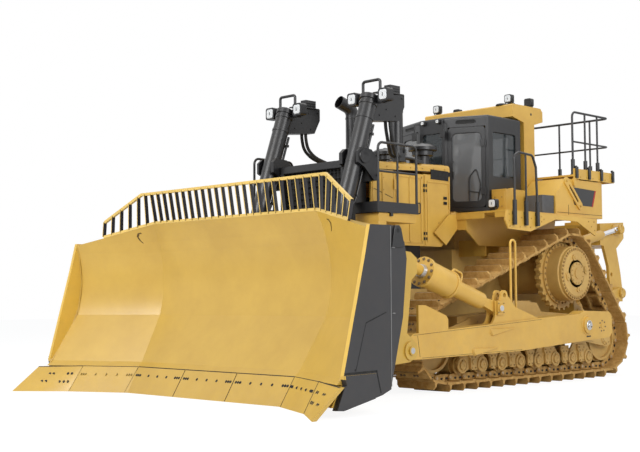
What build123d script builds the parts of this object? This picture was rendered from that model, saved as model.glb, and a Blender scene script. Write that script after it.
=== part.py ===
from build123d import *
import os
from math import atan2, cos, degrees, hypot, pi, radians, sin, sqrt, tan

# A large crawler dozer with a U-shaped blade, raised drive sprockets and a rear ripper.
# Millimetres. +Z is up, -Y is the machine's front, +X is its left-hand side.
# The origin is on the ground, in the middle of the machine's length and width.

# ---------------------------------------------------------------- driving sizes

# undercarriage
TRACK_GAUGE = 2896        # between the centre lines of the two tracks
SHOE_WIDTH = 710
SHOE_COUNT = 40
GROUSER_HEIGHT = 102
SHOE_THICKNESS = 35
LINK_HEIGHT = 100         # depth of the chain's rails
LINK_THICKNESS = 55
LINK_SPACING = 245        # between the centres of the two rails
IDLER_RADIUS = 470        # to the chain's pitch line
SPROCKET_RADIUS = 588     # to the chain's pitch line
FRONT_IDLER_Y = -1330
REAR_IDLER_Y = 3110
SPROCKET_Y = 2070
SPROCKET_Z = 1720
SPROCKET_TEETH = 27
SPROCKET_WIDTH = 90
ROLLER_COUNT = 8
ROLLER_RADIUS = 115
HUB_RADIUS = 430
HUB_LENGTH = 400
COVER_BOSS_CIRCLE = 265   # the four bosses round the middle of a final drive's cover
TRACK_FRAME_PLATE = 32

# blade
BLADE_HALF_WIDTH = 3060   # to the inner side of the end plates
BLADE_FACE_Y = -4095      # the middle section's lower edge
BLADE_BEND_X = 1660
WING_ANGLE = 25.4
MOLDBOARD_LOW_Z = 361
MOLDBOARD_TOP_Z = 2455
WING_TOP_Z = 2170
MOLDBOARD_RADIUS = 1744
MOLDBOARD_PLATE = 40
EDGE_ANGLE = 58           # the cutting edge above the ground
EDGE_THICKNESS = 60
END_PLATE_THICKNESS = 55
BRACKET_PLATE = 40
END_BIT_X = BLADE_HALF_WIDTH - 562        # where an end bit begins
END_BIT_TIP_X = BLADE_HALF_WIDTH + 119    # past the end plate
END_BIT_TIP_Y = -5270
GUARD_HEIGHT = 454        # spill guard above the moldboard, in the middle
LOWER_BOX = (361, 1180, 760)    # low_z, high_z, depth behind the lower edge
UPPER_BOX_DROP = 75       # below the moldboard's top
UPPER_BOX_HEIGHT = 530
UPPER_BOX = (MOLDBOARD_TOP_Z - UPPER_BOX_DROP - UPPER_BOX_HEIGHT, MOLDBOARD_TOP_Z - UPPER_BOX_DROP, 700)
RIB_XS = (-1350, -450, 0, 450, 1350)
RIB_THICKNESS = 36

# push arms
TRUNNION_Y = 1820
TRUNNION_Z = 890
ARM_X = 2050
ARM_WIDTH = 200
ARM_PIN_Y = -2500
ARM_PIN_Z = 642
BRACE_PIN_Y = -450
BRACE_PIN_Z = 1180
BRACE_BALL_Y = -2270
BRACE_BALL_Z = 1756
BRACE_EYE_HALF = 45
BRACE_FORK_LENGTH = 380   # from the pin to where the round tube begins
LIFT_EYE_HALF = 55
ARM_PIN_BOSS = 125        # radius of the boss round the blade's pin
ARM_HOOP_TOP_Z = 2190

# blade lift cylinders
LIFT_X = 900
LIFT_PIVOT_Y = -2175
LIFT_PIVOT_Z = 3354
LIFT_EYE_Y = -3022
LIFT_EYE_Z = 896
LIFT_BARREL_RADIUS = 125
LIFT_BARREL_ABOVE = 969   # barrel's head above its trunnion
LIFT_BARREL_BELOW = 1250
LIFT_ROD_RADIUS = 55
LIFT_ROD_LENGTH = 2120
HEAD_HOOP_HEIGHT = 240    # guard hoop above a cylinder's head
HEAD_HOOP_WIDTH = 340
HEAD_LAMP_X = 310         # lamps either side of a cylinder's head
HEAD_LAMP_SIZE = 190
HOSE_BOX_WIDTH = 180

# main body
FRAME_HALF_WIDTH = 470
GROUND_CLEARANCE = 675
FRAME_TOP_Z = 1480
FRAME_REAR_Y = 3250
HOOD_HALF_WIDTH = 800
HOOD_REAR_Y = 80
HOOD_FRONT_Z = 3350
HOOD_REAR_Z = 3420
PANEL_THICKNESS = 30
SIDE_LOW_Z = 2130
SIDE_DOOR_FRONT_Y = -1240
SIDE_DOOR_REAR_Y = -560
GUARD_FRONT_Y = -2180
GUARD_REAR_Y = -1740
GUARD_LOW_Z = 1000
CASE_FRONT_Y = 520        # the transmission case rises behind the engine
CASE_TOP_Z = 2120
PEDESTAL_HALF_WIDTH = 430 # under the cab
PEDESTAL_FRONT_Y = 640
PEDESTAL_REAR_Y = 1750
ENGINE_FRONT_Y = -1640
ENGINE_REAR_Y = -220
ENGINE_TOP_Z = 2850
GUARD_HALF_WIDTH = 700
STACK_X = 471
STACK_Y = -806
STACK_TOP_Z = 4554
STACK_RADIUS = 105
STACK_FOOT_Z = 3425
INTAKE_X = 400
INTAKE_Y = -100

# cab: a narrow windscreen, slanted doors, upright sides
CAB_HALF_WIDTH = 950
CAB_NOSE_HALF_WIDTH = 270
CAB_NOSE_Y = 620
CAB_SIDE_Y = 903          # where the doors end and the side walls begin
CAB_REAR_Y = 1780
CAB_FLOOR_Z = 2740
ROPS_TOP_Z = 4567
ROPS_OVER_CAB = 257       # from the cab's roof to the rollover frame's top
CAB_ROOF_Z = ROPS_TOP_Z - ROPS_OVER_CAB
CAB_WALL = 45
CAB_SILL = 60
ROOF_DEPTH = 180
GLASS_THICKNESS = 8
ROPS_HALF_WIDTH = 950
ROPS_FRONT_Y = 1570
ROPS_REAR_Y = 2440
ROPS_POST_FRONT_Y = 1890
ROPS_POST_REAR_Y = 2190
ROPS_POST_WIDTH = 150

# rear
FENDER_OUTER_X = 1850
FENDER_REAR_Y = 2660
DECK_INNER_X = HOOD_HALF_WIDTH + 25
DECK_FRONT_Y = 200
DECK_LOW_Z = 2640
DECK_PLATE = 30
TANK_INNER_X = 965
TANK_OUTER_X = 1640
TANK_TOP_Z = 3290
PLATFORM_Z = 3340
PLATFORM_PLATE = 30
PLATFORM_FRONT_Y = 2260
PLATFORM_REAR_Y = 3500

# ripper
RIPPER_ARM_X = 860
RIPPER_PIVOT_Y = 3420
RIPPER_PIVOT_Z = 1080
RIPPER_ARM_LENGTH = 1560
RIPPER_ARM_ANGLE = 12     # raised
RIPPER_LINK_HEIGHT = 1190 # upper pins above lower pins
RIPPER_LIFT_X = 420
RIPPER_LIFT_PIN_RADIUS = 42
RIPPER_ROD_RADIUS = 40
CROSS_TUBE_RADIUS = 90
RIPPER_BARREL_LENGTH = 960
RIPPER_ROD_LENGTH = 930
SHANK_WIDTH = 105
BEAM_FRONT_Y = 4450
BEAM_REAR_Y = 5270

# clearances
RUNNING_GAP = 6           # between parts that move past each other
SEAT_GAP = 0.3            # between round parts that seat
PIN_RADIUS = 60
PIN_FIT = 0.5             # between a pin or rod and its bore

# ---------------------------------------------------------------- derived sizes

SIDES = {"left": 1, "right": -1}
TRACK_X = TRACK_GAUGE / 2
PITCH_LOW_Z = GROUSER_HEIGHT + SHOE_THICKNESS + LINK_HEIGHT / 2
IDLER_Z = PITCH_LOW_Z + IDLER_RADIUS
RAIL_OFFSET = LINK_HEIGHT / 2
TRACK_FRAME_HALF = LINK_SPACING / 2 + LINK_THICKNESS / 2 + 52
TRACK_FRAME_INNER_X = TRACK_X - TRACK_FRAME_HALF - TRACK_FRAME_PLATE
ROLLER_Z = PITCH_LOW_Z + RAIL_OFFSET + ROLLER_RADIUS + SEAT_GAP
ROLLER_FIRST_Y = FRONT_IDLER_Y + IDLER_RADIUS + 80
ROLLER_LAST_Y = REAR_IDLER_Y - IDLER_RADIUS - 80
ROLLER_PITCH = (ROLLER_LAST_Y - ROLLER_FIRST_Y) / (ROLLER_COUNT - 1)

ARC_Z = 1616                                   # height of the moldboard arc's centre
ARC_N = sqrt(MOLDBOARD_RADIUS**2 - (ARC_Z - MOLDBOARD_LOW_Z) ** 2)
EDGE_REACH = MOLDBOARD_LOW_Z / tan(radians(EDGE_ANGLE))
EDGE_BACK = EDGE_THICKNESS / sin(radians(EDGE_ANGLE))   # the edge's thickness, measured level
LIP_LOW_Z = 110                                # the lip which carries the edge from behind
LIP_REACH = (MOLDBOARD_LOW_Z - LIP_LOW_Z) / tan(radians(EDGE_ANGLE))
WING_END_X = BLADE_HALF_WIDTH + 400
WING_END_Y = BLADE_FACE_Y - (WING_END_X - BLADE_BEND_X) * tan(radians(WING_ANGLE))


def face_depth(z, offset=0.0):
    """How far the moldboard's face lies behind the lower edge's line, at a height"""
    return sqrt((MOLDBOARD_RADIUS + offset) ** 2 - (z - ARC_Z) ** 2) - ARC_N


def wing_y(x, depth=0.0):
    """The Y of a line at some depth behind the lower edge, at a distance from the middle"""
    bend_x = BLADE_BEND_X + depth * tan(radians(WING_ANGLE / 2))
    back = max(0.0, x - bend_x) * tan(radians(WING_ANGLE))
    return BLADE_FACE_Y + depth - back


CROWN_BEND_X = BLADE_BEND_X + face_depth(MOLDBOARD_TOP_Z) * tan(radians(WING_ANGLE / 2))


def crown_z(x):
    """Height of the moldboard's top along a wing"""
    share = (x - CROWN_BEND_X) / (BLADE_HALF_WIDTH - CROWN_BEND_X)
    return MOLDBOARD_TOP_Z - (MOLDBOARD_TOP_Z - WING_TOP_Z) * share


# the blade's lower edge in plan, and the plane in which its sections are drawn
BLADE_PLAN = [
    (-WING_END_X, WING_END_Y),
    (-BLADE_BEND_X, BLADE_FACE_Y),
    (BLADE_BEND_X, BLADE_FACE_Y),
    (WING_END_X, WING_END_Y),
]
WING_DIRECTION = (cos(radians(WING_ANGLE)), sin(radians(WING_ANGLE)), 0)
WING_NORMAL = (-sin(radians(WING_ANGLE)), cos(radians(WING_ANGLE)), 0)
BLADE_SECTION = Plane(
    origin=(-WING_END_X, WING_END_Y, 0), x_dir=WING_NORMAL, z_dir=WING_DIRECTION
)

BRACE_SLOPE = atan2(BRACE_BALL_Z - BRACE_PIN_Z, BRACE_PIN_Y - BRACE_BALL_Y)
BRACE_NECK_RADIUS = 75
BRACE_NECK_LENGTH = 60    # ahead of the ball's middle
BRACE_SEAT_Y = (
    BRACE_BALL_Y - BRACE_NECK_LENGTH * cos(BRACE_SLOPE) - BRACE_NECK_RADIUS * sin(BRACE_SLOPE) - SEAT_GAP
)
BRACKET_INNER = ARM_WIDTH / 2 + SEAT_GAP       # half the gap between the blade's bracket plates

LIFT_LEAN = degrees(atan2(LIFT_PIVOT_Y - LIFT_EYE_Y, LIFT_PIVOT_Z - LIFT_EYE_Z))

# ---------------------------------------------------------------- shared shapes


def plate_yz(points, x0, x1, mode=Mode.ADD):
    """A plate with an outline in Y and Z, from one X to another"""
    with BuildSketch(Plane.YZ.offset(x0)) as outline:
        with BuildLine():
            Polyline(*points, close=True)
        make_face()
    extrude(outline.sketch, amount=x1 - x0, mode=mode)


def plate_xy(points, z0, z1, mode=Mode.ADD):
    """A plate with an outline in X and Y, from one height to another"""
    with BuildSketch(Plane.XY.offset(z0)) as outline:
        with BuildLine():
            Polyline(*points, close=True)
        make_face()
    extrude(outline.sketch, amount=z1 - z0, mode=mode)


def block(x0, x1, y0, y1, z0, z1, mode=Mode.ADD):
    """A block between two corners"""
    with Locations(((x0 + x1) / 2, (y0 + y1) / 2, (z0 + z1) / 2)):
        Box(abs(x1 - x0), abs(y1 - y0), abs(z1 - z0), mode=mode)


def drum_x(y, z, radius, x0, x1, mode=Mode.ADD):
    """A cylinder along X, from one X to another"""
    with BuildSketch(Plane.YZ.offset(x0)) as disc:
        with Locations((y, z)):
            Circle(radius)
    extrude(disc.sketch, amount=x1 - x0, mode=mode)


def bar(start, end, radius, mode=Mode.ADD):
    """A round bar between two points"""
    line = Vector(*end) - Vector(*start)
    with BuildSketch(Plane(origin=start, z_dir=line)) as disc:
        Circle(radius)
    extrude(disc.sketch, amount=line.length, mode=mode)


def rail(points, radius=19, bend=90):
    """A bent tube through some corners"""
    with BuildLine(mode=Mode.PRIVATE) as line:
        if len(points) > 2:
            FilletPolyline(*points, radius=bend)
        else:
            Polyline(*points)
    with BuildSketch(Plane(origin=points[0], z_dir=Vector(*points[1]) - Vector(*points[0]))) as tube:
        Circle(radius)
    sweep(tube.sketch, path=line.line)


def square_lamp(x, y, z, aim, size=140, depth=90):
    """A square lamp from its face's middle: `aim` is -1 for one that looks forward"""
    with BuildSketch(Plane(origin=(x, y, z), z_dir=(0, aim, 0), x_dir=(1, 0, 0))) as face:
        RectangleRounded(size, size, size / 5)
    extrude(face.sketch, amount=-depth)


def mirrored(side, *xs):
    """X values on one side of the machine, in rising order"""
    return sorted(side * x for x in xs)


def save(piece, label):
    """Label a finished piece and write its file"""
    piece.part.label = label
    export_step(piece.part, f"parts/{label}.step")


os.makedirs("parts", exist_ok=True)

# ---------------------------------------------------------------- tracks


def loop_tangents():
    """Corners of the chain's pitch line: (centre_y, centre_z, radius, first_angle, last_angle)

    The chain runs forward along the ground, up over the front idler,
    back over the sprocket and down round the rear idler.
    """
    wheels = [
        (REAR_IDLER_Y, IDLER_Z, IDLER_RADIUS),
        (FRONT_IDLER_Y, IDLER_Z, IDLER_RADIUS),
        (SPROCKET_Y, SPROCKET_Z, SPROCKET_RADIUS),
    ]
    normals = []
    for k, (y0, z0, r0) in enumerate(wheels):
        y1, z1, r1 = wheels[(k + 1) % 3]
        run = hypot(y1 - y0, z1 - z0)
        heading = atan2(z1 - z0, y1 - y0)
        # outward normal of the straight run, on the chain's outer side
        normals.append(heading + pi / 2 + atan2(r0 - r1, sqrt(run**2 - (r0 - r1) ** 2)))
    arcs = []
    for k, (y, z, r) in enumerate(wheels):
        first = normals[k - 1]
        last = normals[k]
        while last > first:
            last -= 2 * pi
        arcs.append((y, z, r, first, last))
    return arcs


def loop_points():
    """Equally spaced pins of the chain on its pitch line, as (y, z)"""
    arcs = loop_tangents()
    pieces = []
    for k, (y, z, r, first, last) in enumerate(arcs):
        pieces.append(("arc", y, z, r, first, last, r * (first - last)))
        ny, nz, nr, nfirst, _ = arcs[(k + 1) % 3]
        start = (y + r * cos(last), z + r * sin(last))
        end = (ny + nr * cos(nfirst), nz + nr * sin(nfirst))
        pieces.append(("run", *start, *end, 0, hypot(end[0] - start[0], end[1] - start[1])))
    total = sum(piece[-1] for piece in pieces)
    pins = []
    for k in range(SHOE_COUNT):
        along = total * (k + 0.5) / SHOE_COUNT
        for kind, a, b, c, d, _, length in pieces:
            if along > length:
                along -= length
                continue
            if kind == "arc":
                angle = d - along / c
                pins.append((a + c * cos(angle), b + c * sin(angle)))
            else:
                t = along / length
                pins.append((a + (c - a) * t, b + (d - b) * t))
            break
    return pins


PINS = loop_points()


def shoe_frames():
    """Each link as (start_y, start_z, along_y, along_z, out_y, out_z, length)"""
    frames = []
    for k, (y0, z0) in enumerate(PINS):
        y1, z1 = PINS[(k + 1) % SHOE_COUNT]
        length = hypot(y1 - y0, z1 - z0)
        ay, az = (y1 - y0) / length, (z1 - z0) / length
        frames.append((y0, z0, ay, az, -az, ay, length))
    return frames


def chain_outline(profile):
    """The loop's outline from one link's profile of (share of the pitch, outward offset)"""
    points = []
    for y, z, ay, az, oy, oz, length in shoe_frames():
        for share, out in profile:
            step = share * length
            points.append((y + ay * step + oy * out, z + az * step + oz * out))
    return points

# (share of the pitch, outward offset) round one shoe: plate, grouser, plate
SHOE_PROFILE = [
    (0.03, RAIL_OFFSET + SHOE_THICKNESS),
    (0.72, RAIL_OFFSET + SHOE_THICKNESS),
    (0.76, RAIL_OFFSET + SHOE_THICKNESS + GROUSER_HEIGHT),
    (0.84, RAIL_OFFSET + SHOE_THICKNESS + GROUSER_HEIGHT),
    (0.88, RAIL_OFFSET + SHOE_THICKNESS),
    (0.97, RAIL_OFFSET + SHOE_THICKNESS - 12),
]
SHOE_INSIDE = [(0.02, RAIL_OFFSET), (0.98, RAIL_OFFSET)]
RAIL_OUTSIDE = [(0.02, RAIL_OFFSET + 5), (0.98, RAIL_OFFSET + 5)]
RAIL_INSIDE = [(0.07, -RAIL_OFFSET), (0.93, -RAIL_OFFSET)]
CHAIN_PITCH = shoe_frames()[0][-1]


def chain_band(outer, inner, x0, x1):
    """A closed band between two outlines of the chain, from one X to another"""
    with BuildSketch(Plane.YZ.offset(x0)) as band:
        with BuildLine():
            Polyline(*chain_outline(outer), close=True)
        make_face()
        with BuildLine():
            Polyline(*chain_outline(inner), close=True)
        make_face(mode=Mode.SUBTRACT)
    extrude(band.sketch, amount=x1 - x0)


for name, side in SIDES.items():
    with BuildPart() as track:
        x = side * TRACK_X
        chain_band(SHOE_PROFILE, SHOE_INSIDE, x - SHOE_WIDTH / 2, x + SHOE_WIDTH / 2)
        for row in (-1, 1):
            middle = x + row * LINK_SPACING / 2
            chain_band(
                RAIL_OUTSIDE,
                RAIL_INSIDE,
                middle - LINK_THICKNESS / 2,
                middle + LINK_THICKNESS / 2,
            )
    save(track, f"track_{name}")

# ---------------------------------------------------------------- rollers and idlers

WHEEL_HALF = TRACK_FRAME_HALF                 # shafts reach the track frame's plates
TREAD_HALF = LINK_SPACING / 2 + LINK_THICKNESS / 2 + 8
GUIDE_HALF = LINK_SPACING / 2 - LINK_THICKNESS / 2 - 8
IDLER_TREAD_RADIUS = sqrt(IDLER_RADIUS**2 - (CHAIN_PITCH / 2) ** 2) - RAIL_OFFSET - 2
ROLLER_YS = [ROLLER_FIRST_Y + k * ROLLER_PITCH for k in range(ROLLER_COUNT)]

FLANGE_RADIUS = ROLLER_RADIUS + 22
FLANGE_WIDTH = 22

for name, side in SIDES.items():
    x = side * TRACK_X
    with BuildPart() as rollers:
        for y in ROLLER_YS:
            # tread, flanges inside and outside the rails, and the shaft with its collars
            drum_x(y, ROLLER_Z, ROLLER_RADIUS, x - TREAD_HALF, x + TREAD_HALF)
            drum_x(y, ROLLER_Z, FLANGE_RADIUS, x - GUIDE_HALF, x + GUIDE_HALF)
            for end in (-1, 1):
                tread_end = x + end * TREAD_HALF
                drum_x(y, ROLLER_Z, FLANGE_RADIUS, *sorted((tread_end, tread_end + end * FLANGE_WIDTH)))
            drum_x(y, ROLLER_Z, 70, x - WHEEL_HALF, x + WHEEL_HALF)
        for y in (FRONT_IDLER_Y, REAR_IDLER_Y):
            drum_x(y, IDLER_Z, IDLER_TREAD_RADIUS, x - TREAD_HALF, x + TREAD_HALF)
            drum_x(y, IDLER_Z, IDLER_TREAD_RADIUS + 25, x - GUIDE_HALF, x + GUIDE_HALF)
            drum_x(y, IDLER_Z, 110, x - WHEEL_HALF, x + WHEEL_HALF)
            # the dished web between rim and hub
            for end in (-1, 1):
                rim = x + end * TREAD_HALF
                with BuildSketch(Plane.YZ.offset(rim)) as dish:
                    with Locations((y, IDLER_Z)):
                        Circle(IDLER_TREAD_RADIUS - 45)
                        Circle(150, mode=Mode.SUBTRACT)
                extrude(dish.sketch, amount=-end * 50, mode=Mode.SUBTRACT)
    save(rollers, f"rollers_{name}")

# ---------------------------------------------------------------- final drives

for name, side in SIDES.items():
    x = side * TRACK_X
    with BuildPart() as drive:
        with BuildSketch(Plane.YZ.offset(x - SPROCKET_WIDTH / 2)) as sprocket:
            with Locations((SPROCKET_Y, SPROCKET_Z)):
                Circle(SPROCKET_RADIUS - 28)
                with PolarLocations(SPROCKET_RADIUS - 10, SPROCKET_TEETH):
                    Trapezoid(70, 44, 70, rotation=-90)
        extrude(sprocket.sketch, amount=SPROCKET_WIDTH)
        inner, outer = mirrored(side, FRAME_HALF_WIDTH, TRACK_X - SPROCKET_WIDTH / 2)
        drum_x(SPROCKET_Y, SPROCKET_Z, 330, inner, outer)
        # bolted segment ring, the drum with its rounded shoulder, and the cover
        ring = mirrored(side, TRACK_X, TRACK_X + SPROCKET_WIDTH / 2 + 35)
        drum_x(SPROCKET_Y, SPROCKET_Z, SPROCKET_RADIUS - 85, *ring)
        drum_x(SPROCKET_Y, SPROCKET_Z, HUB_RADIUS + 20, *mirrored(side, TRACK_X, TRACK_X + HUB_LENGTH - 90))
        shoulder = drive.faces().sort_by(Axis.X)[-1 if side > 0 else 0]
        fillet(shoulder.edges(), 22)
        cover = mirrored(side, TRACK_X + HUB_LENGTH - 91, TRACK_X + HUB_LENGTH - 40)
        drum_x(SPROCKET_Y, SPROCKET_Z, HUB_RADIUS, *cover)
        # raised middle with its four bosses
        with BuildSketch(Plane.YZ.offset(side * (TRACK_X + HUB_LENGTH - 41))) as bosses:
            with Locations((SPROCKET_Y, SPROCKET_Z)):
                Circle(185)
                with PolarLocations(COVER_BOSS_CIRCLE, 4, start_angle=12):
                    Ellipse(48, 66)
        extrude(bosses.sketch, amount=side * 26)
        drum_x(
            SPROCKET_Y, SPROCKET_Z, 85, *mirrored(side, TRACK_X + HUB_LENGTH - 16, TRACK_X + HUB_LENGTH)
        )
    save(drive, f"final_drive_{name}")

# ---------------------------------------------------------------- track frames

BOGIE_COUNT = ROLLER_COUNT // 2
FRAME_BEAM_Y = (FRONT_IDLER_Y + IDLER_RADIUS + 30, REAR_IDLER_Y - IDLER_RADIUS - 30)
FRAME_BEAM_Z = (590, 1120)
TRUNNION_RADIUS = 120

for name, side in SIDES.items():
    x = side * TRACK_X
    with BuildPart() as frame:
        y0, y1 = FRAME_BEAM_Y
        z0, z1 = FRAME_BEAM_Z
        # the box beam, with the recoil spring's raised housing
        plate_yz(
            [(y0, z0 + 60), (y0 + 120, z0), (y1, z0), (y1, z1 - 190), (y1 - 260, z1 - 70),
             (1290, z1 - 10), (1180, z1 + 130), (560, z1 + 170), (420, z1), (y0, z1 - 60)],
            x - TRACK_FRAME_HALF + 6,
            x + TRACK_FRAME_HALF - 6,
        )
        for edge in (-1, 1):
            inner = x + edge * TRACK_FRAME_HALF
            skirt = sorted((inner, inner + edge * TRACK_FRAME_PLATE))
            # bogie plates, each over two rollers
            for k in range(BOGIE_COUNT):
                middle = (ROLLER_YS[2 * k] + ROLLER_YS[2 * k + 1]) / 2
                reach = ROLLER_PITCH / 2 + 120
                plate_yz(
                    [(middle - reach, ROLLER_Z + 40), (middle - reach + 60, ROLLER_Z - 75),
                     (middle - 90, ROLLER_Z - 75), (middle, ROLLER_Z + 20), (middle + 90, ROLLER_Z - 75),
                     (middle + reach - 60, ROLLER_Z - 75), (middle + reach, ROLLER_Z + 40),
                     (middle + 130, z0 + 60), (middle - 130, z0 + 60)],
                    *skirt,
                )
            # idler arms and the beam's side strakes
            plate_yz(
                [(FRONT_IDLER_Y - 150, IDLER_Z - 120), (FRONT_IDLER_Y - 150, IDLER_Z + 120),
                 (FRONT_IDLER_Y + 60, IDLER_Z + 190), (y0 + 260, z1 - 90), (y0 + 260, z0 + 30),
                 (FRONT_IDLER_Y + 60, IDLER_Z - 160)],
                *skirt,
            )
            plate_yz(
                [(REAR_IDLER_Y + 150, IDLER_Z - 120), (REAR_IDLER_Y + 60, IDLER_Z - 160),
                 (y1 - 260, z0 + 30), (y1 - 260, z1 - 230), (REAR_IDLER_Y + 60, IDLER_Z + 190),
                 (REAR_IDLER_Y + 150, IDLER_Z + 120)],
                *skirt,
            )
            plate_yz(
                [(y0 + 200, z0 + 40), (y1 - 200, z0 + 40), (y1 - 200, z0 + 150), (y0 + 200, z0 + 150)],
                *skirt,
            )
            drum_x(TRUNNION_Y, TRUNNION_Z, TRUNNION_RADIUS + 50, *skirt)
            plate_yz(
                [(y0 + 40, z0 + 70), (y1 - 40, z0 + 70), (y1 - 40, z1 - 300), (y0 + 40, z1 - 300)],
                *sorted((inner - edge * 6, inner)),
            )
        # trunnion stub for the push arm
        inner, outer = mirrored(side, TRACK_X + TRACK_FRAME_HALF, ARM_X + ARM_WIDTH / 2 - 30)
        drum_x(TRUNNION_Y, TRUNNION_Z, TRUNNION_RADIUS, inner, outer)
    save(frame, f"track_frame_{name}")

# ---------------------------------------------------------------- main frame

PIVOT_RADIUS = 95
EQUALISER_Y = -900

with BuildPart() as main_frame:
    plate_yz(
        [(GUARD_REAR_Y, GROUND_CLEARANCE + 160), (GUARD_REAR_Y + 160, GROUND_CLEARANCE),
         (FRAME_REAR_Y - 500, GROUND_CLEARANCE), (FRAME_REAR_Y, GROUND_CLEARANCE + 200),
         (FRAME_REAR_Y, CASE_TOP_Z), (CASE_FRONT_Y, CASE_TOP_Z), (CASE_FRONT_Y, FRAME_TOP_Z),
         (GUARD_REAR_Y, FRAME_TOP_Z)],
        -FRAME_HALF_WIDTH,
        FRAME_HALF_WIDTH,
    )
    # the pivot shaft behind, which joins both track frames, and the equaliser bar in front
    drum_x(TRUNNION_Y, TRUNNION_Z, PIVOT_RADIUS, -TRACK_FRAME_INNER_X, TRACK_FRAME_INNER_X)
    block(
        -TRACK_FRAME_INNER_X, TRACK_FRAME_INNER_X, EQUALISER_Y - 80, EQUALISER_Y + 80,
        GROUND_CLEARANCE + 20, GROUND_CLEARANCE + 190,
    )
    # seats of the rollover frame's posts, the cab's pedestal and the floor between the decks
    block(
        -ROPS_HALF_WIDTH, ROPS_HALF_WIDTH, ROPS_POST_FRONT_Y - 30, ROPS_POST_REAR_Y + 30,
        CASE_TOP_Z - 60, CASE_TOP_Z,
    )
    block(
        -PEDESTAL_HALF_WIDTH, PEDESTAL_HALF_WIDTH, PEDESTAL_FRONT_Y, PEDESTAL_REAR_Y,
        CASE_TOP_Z - 1, CAB_FLOOR_Z,
    )
    block(
        -DECK_INNER_X, DECK_INNER_X, HOOD_REAR_Y + 1, PEDESTAL_FRONT_Y + 260,
        DECK_LOW_Z, DECK_LOW_Z + DECK_PLATE,
    )
save(main_frame, "main_frame")

with BuildPart() as engine_block:
    block(
        -FRAME_HALF_WIDTH + 40, FRAME_HALF_WIDTH - 40, ENGINE_FRONT_Y, ENGINE_REAR_Y,
        FRAME_TOP_Z, ENGINE_TOP_Z,
    )
save(engine_block, "engine_block")

# ---------------------------------------------------------------- radiator guard, hood and sides

GUARD_RIM = 90            # the guard's frame round the grille
GRILLE_LOW_Z = GUARD_LOW_Z + 160
GRILLE_HIGH_Z = HOOD_FRONT_Z - 120
GRILLE_DEPTH = 130
GRILLE_BARS = 24
HOOD_FOLD = 110           # depth of the hood's folded edges
SIDE_TOP_Z = HOOD_FRONT_Z - HOOD_FOLD - SEAT_GAP

with BuildPart() as radiator_guard:
    block(
        -GUARD_HALF_WIDTH, GUARD_HALF_WIDTH, GUARD_FRONT_Y, GUARD_REAR_Y, GUARD_LOW_Z, HOOD_FRONT_Z - 10
    )
    block(
        -GUARD_HALF_WIDTH + GUARD_RIM, GUARD_HALF_WIDTH - GUARD_RIM,
        GUARD_FRONT_Y, GUARD_FRONT_Y + GRILLE_DEPTH, GRILLE_LOW_Z, GRILLE_HIGH_Z, mode=Mode.SUBTRACT,
    )
    corners = radiator_guard.edges().filter_by(Axis.Z).group_by(Axis.Y)[0].sort_by(Axis.X)
    fillet([corners[0], corners[-1]], 40)
save(radiator_guard, "radiator_guard")

with BuildPart() as radiator_grille:
    half = GUARD_HALF_WIDTH - GUARD_RIM
    back_y = GUARD_FRONT_Y + GRILLE_DEPTH
    block(-half, half, back_y - 12, back_y, GRILLE_LOW_Z, GRILLE_HIGH_Z)
    for k in range(GRILLE_BARS):
        z = GRILLE_LOW_Z + (GRILLE_HIGH_Z - GRILLE_LOW_Z) * (k + 0.5) / GRILLE_BARS
        block(-half, half, back_y - 50, back_y - 10, z - 8, z + 8)
save(radiator_grille, "radiator_grille")

with BuildPart() as hood:
    # top sheet with folded edges over the side panels
    plate_yz(
        [(GUARD_REAR_Y, HOOD_FRONT_Z), (HOOD_REAR_Y, HOOD_REAR_Z), (HOOD_REAR_Y, HOOD_REAR_Z - HOOD_FOLD),
         (GUARD_REAR_Y, HOOD_FRONT_Z - HOOD_FOLD)],
        -HOOD_HALF_WIDTH,
        HOOD_HALF_WIDTH,
    )
    crown = hood.faces().sort_by(Axis.Z)[-1]
    fillet(crown.edges().filter_by(Axis.X, reverse=True), 60)
    plate_yz(
        [(GUARD_REAR_Y - 1, HOOD_FRONT_Z - 180), (HOOD_REAR_Y - 30, HOOD_REAR_Z - 180),
         (HOOD_REAR_Y - 30, HOOD_REAR_Z - 30), (GUARD_REAR_Y - 1, HOOD_FRONT_Z - 30)],
        -HOOD_HALF_WIDTH + 30,
        HOOD_HALF_WIDTH - 30,
        mode=Mode.SUBTRACT,
    )
    # flat seats for the stacks and the air intakes
    for side in SIDES.values():
        for x, y, radius in ((STACK_X, STACK_Y, STACK_RADIUS + 45), (INTAKE_X, INTAKE_Y, 120)):
            bar((side * x, y, HOOD_FRONT_Z - 20), (side * x, y, STACK_FOOT_Z), radius)
save(hood, "hood")

SIDE_X = HOOD_HALF_WIDTH - PANEL_THICKNESS
DOOR_GAP = RUNNING_GAP
HINGE_RADIUS = 14
SIDE_HINGE_X = HOOD_HALF_WIDTH + HINGE_RADIUS
SIDE_HINGE_Y = SIDE_DOOR_FRONT_Y - DOOR_GAP / 2

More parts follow.
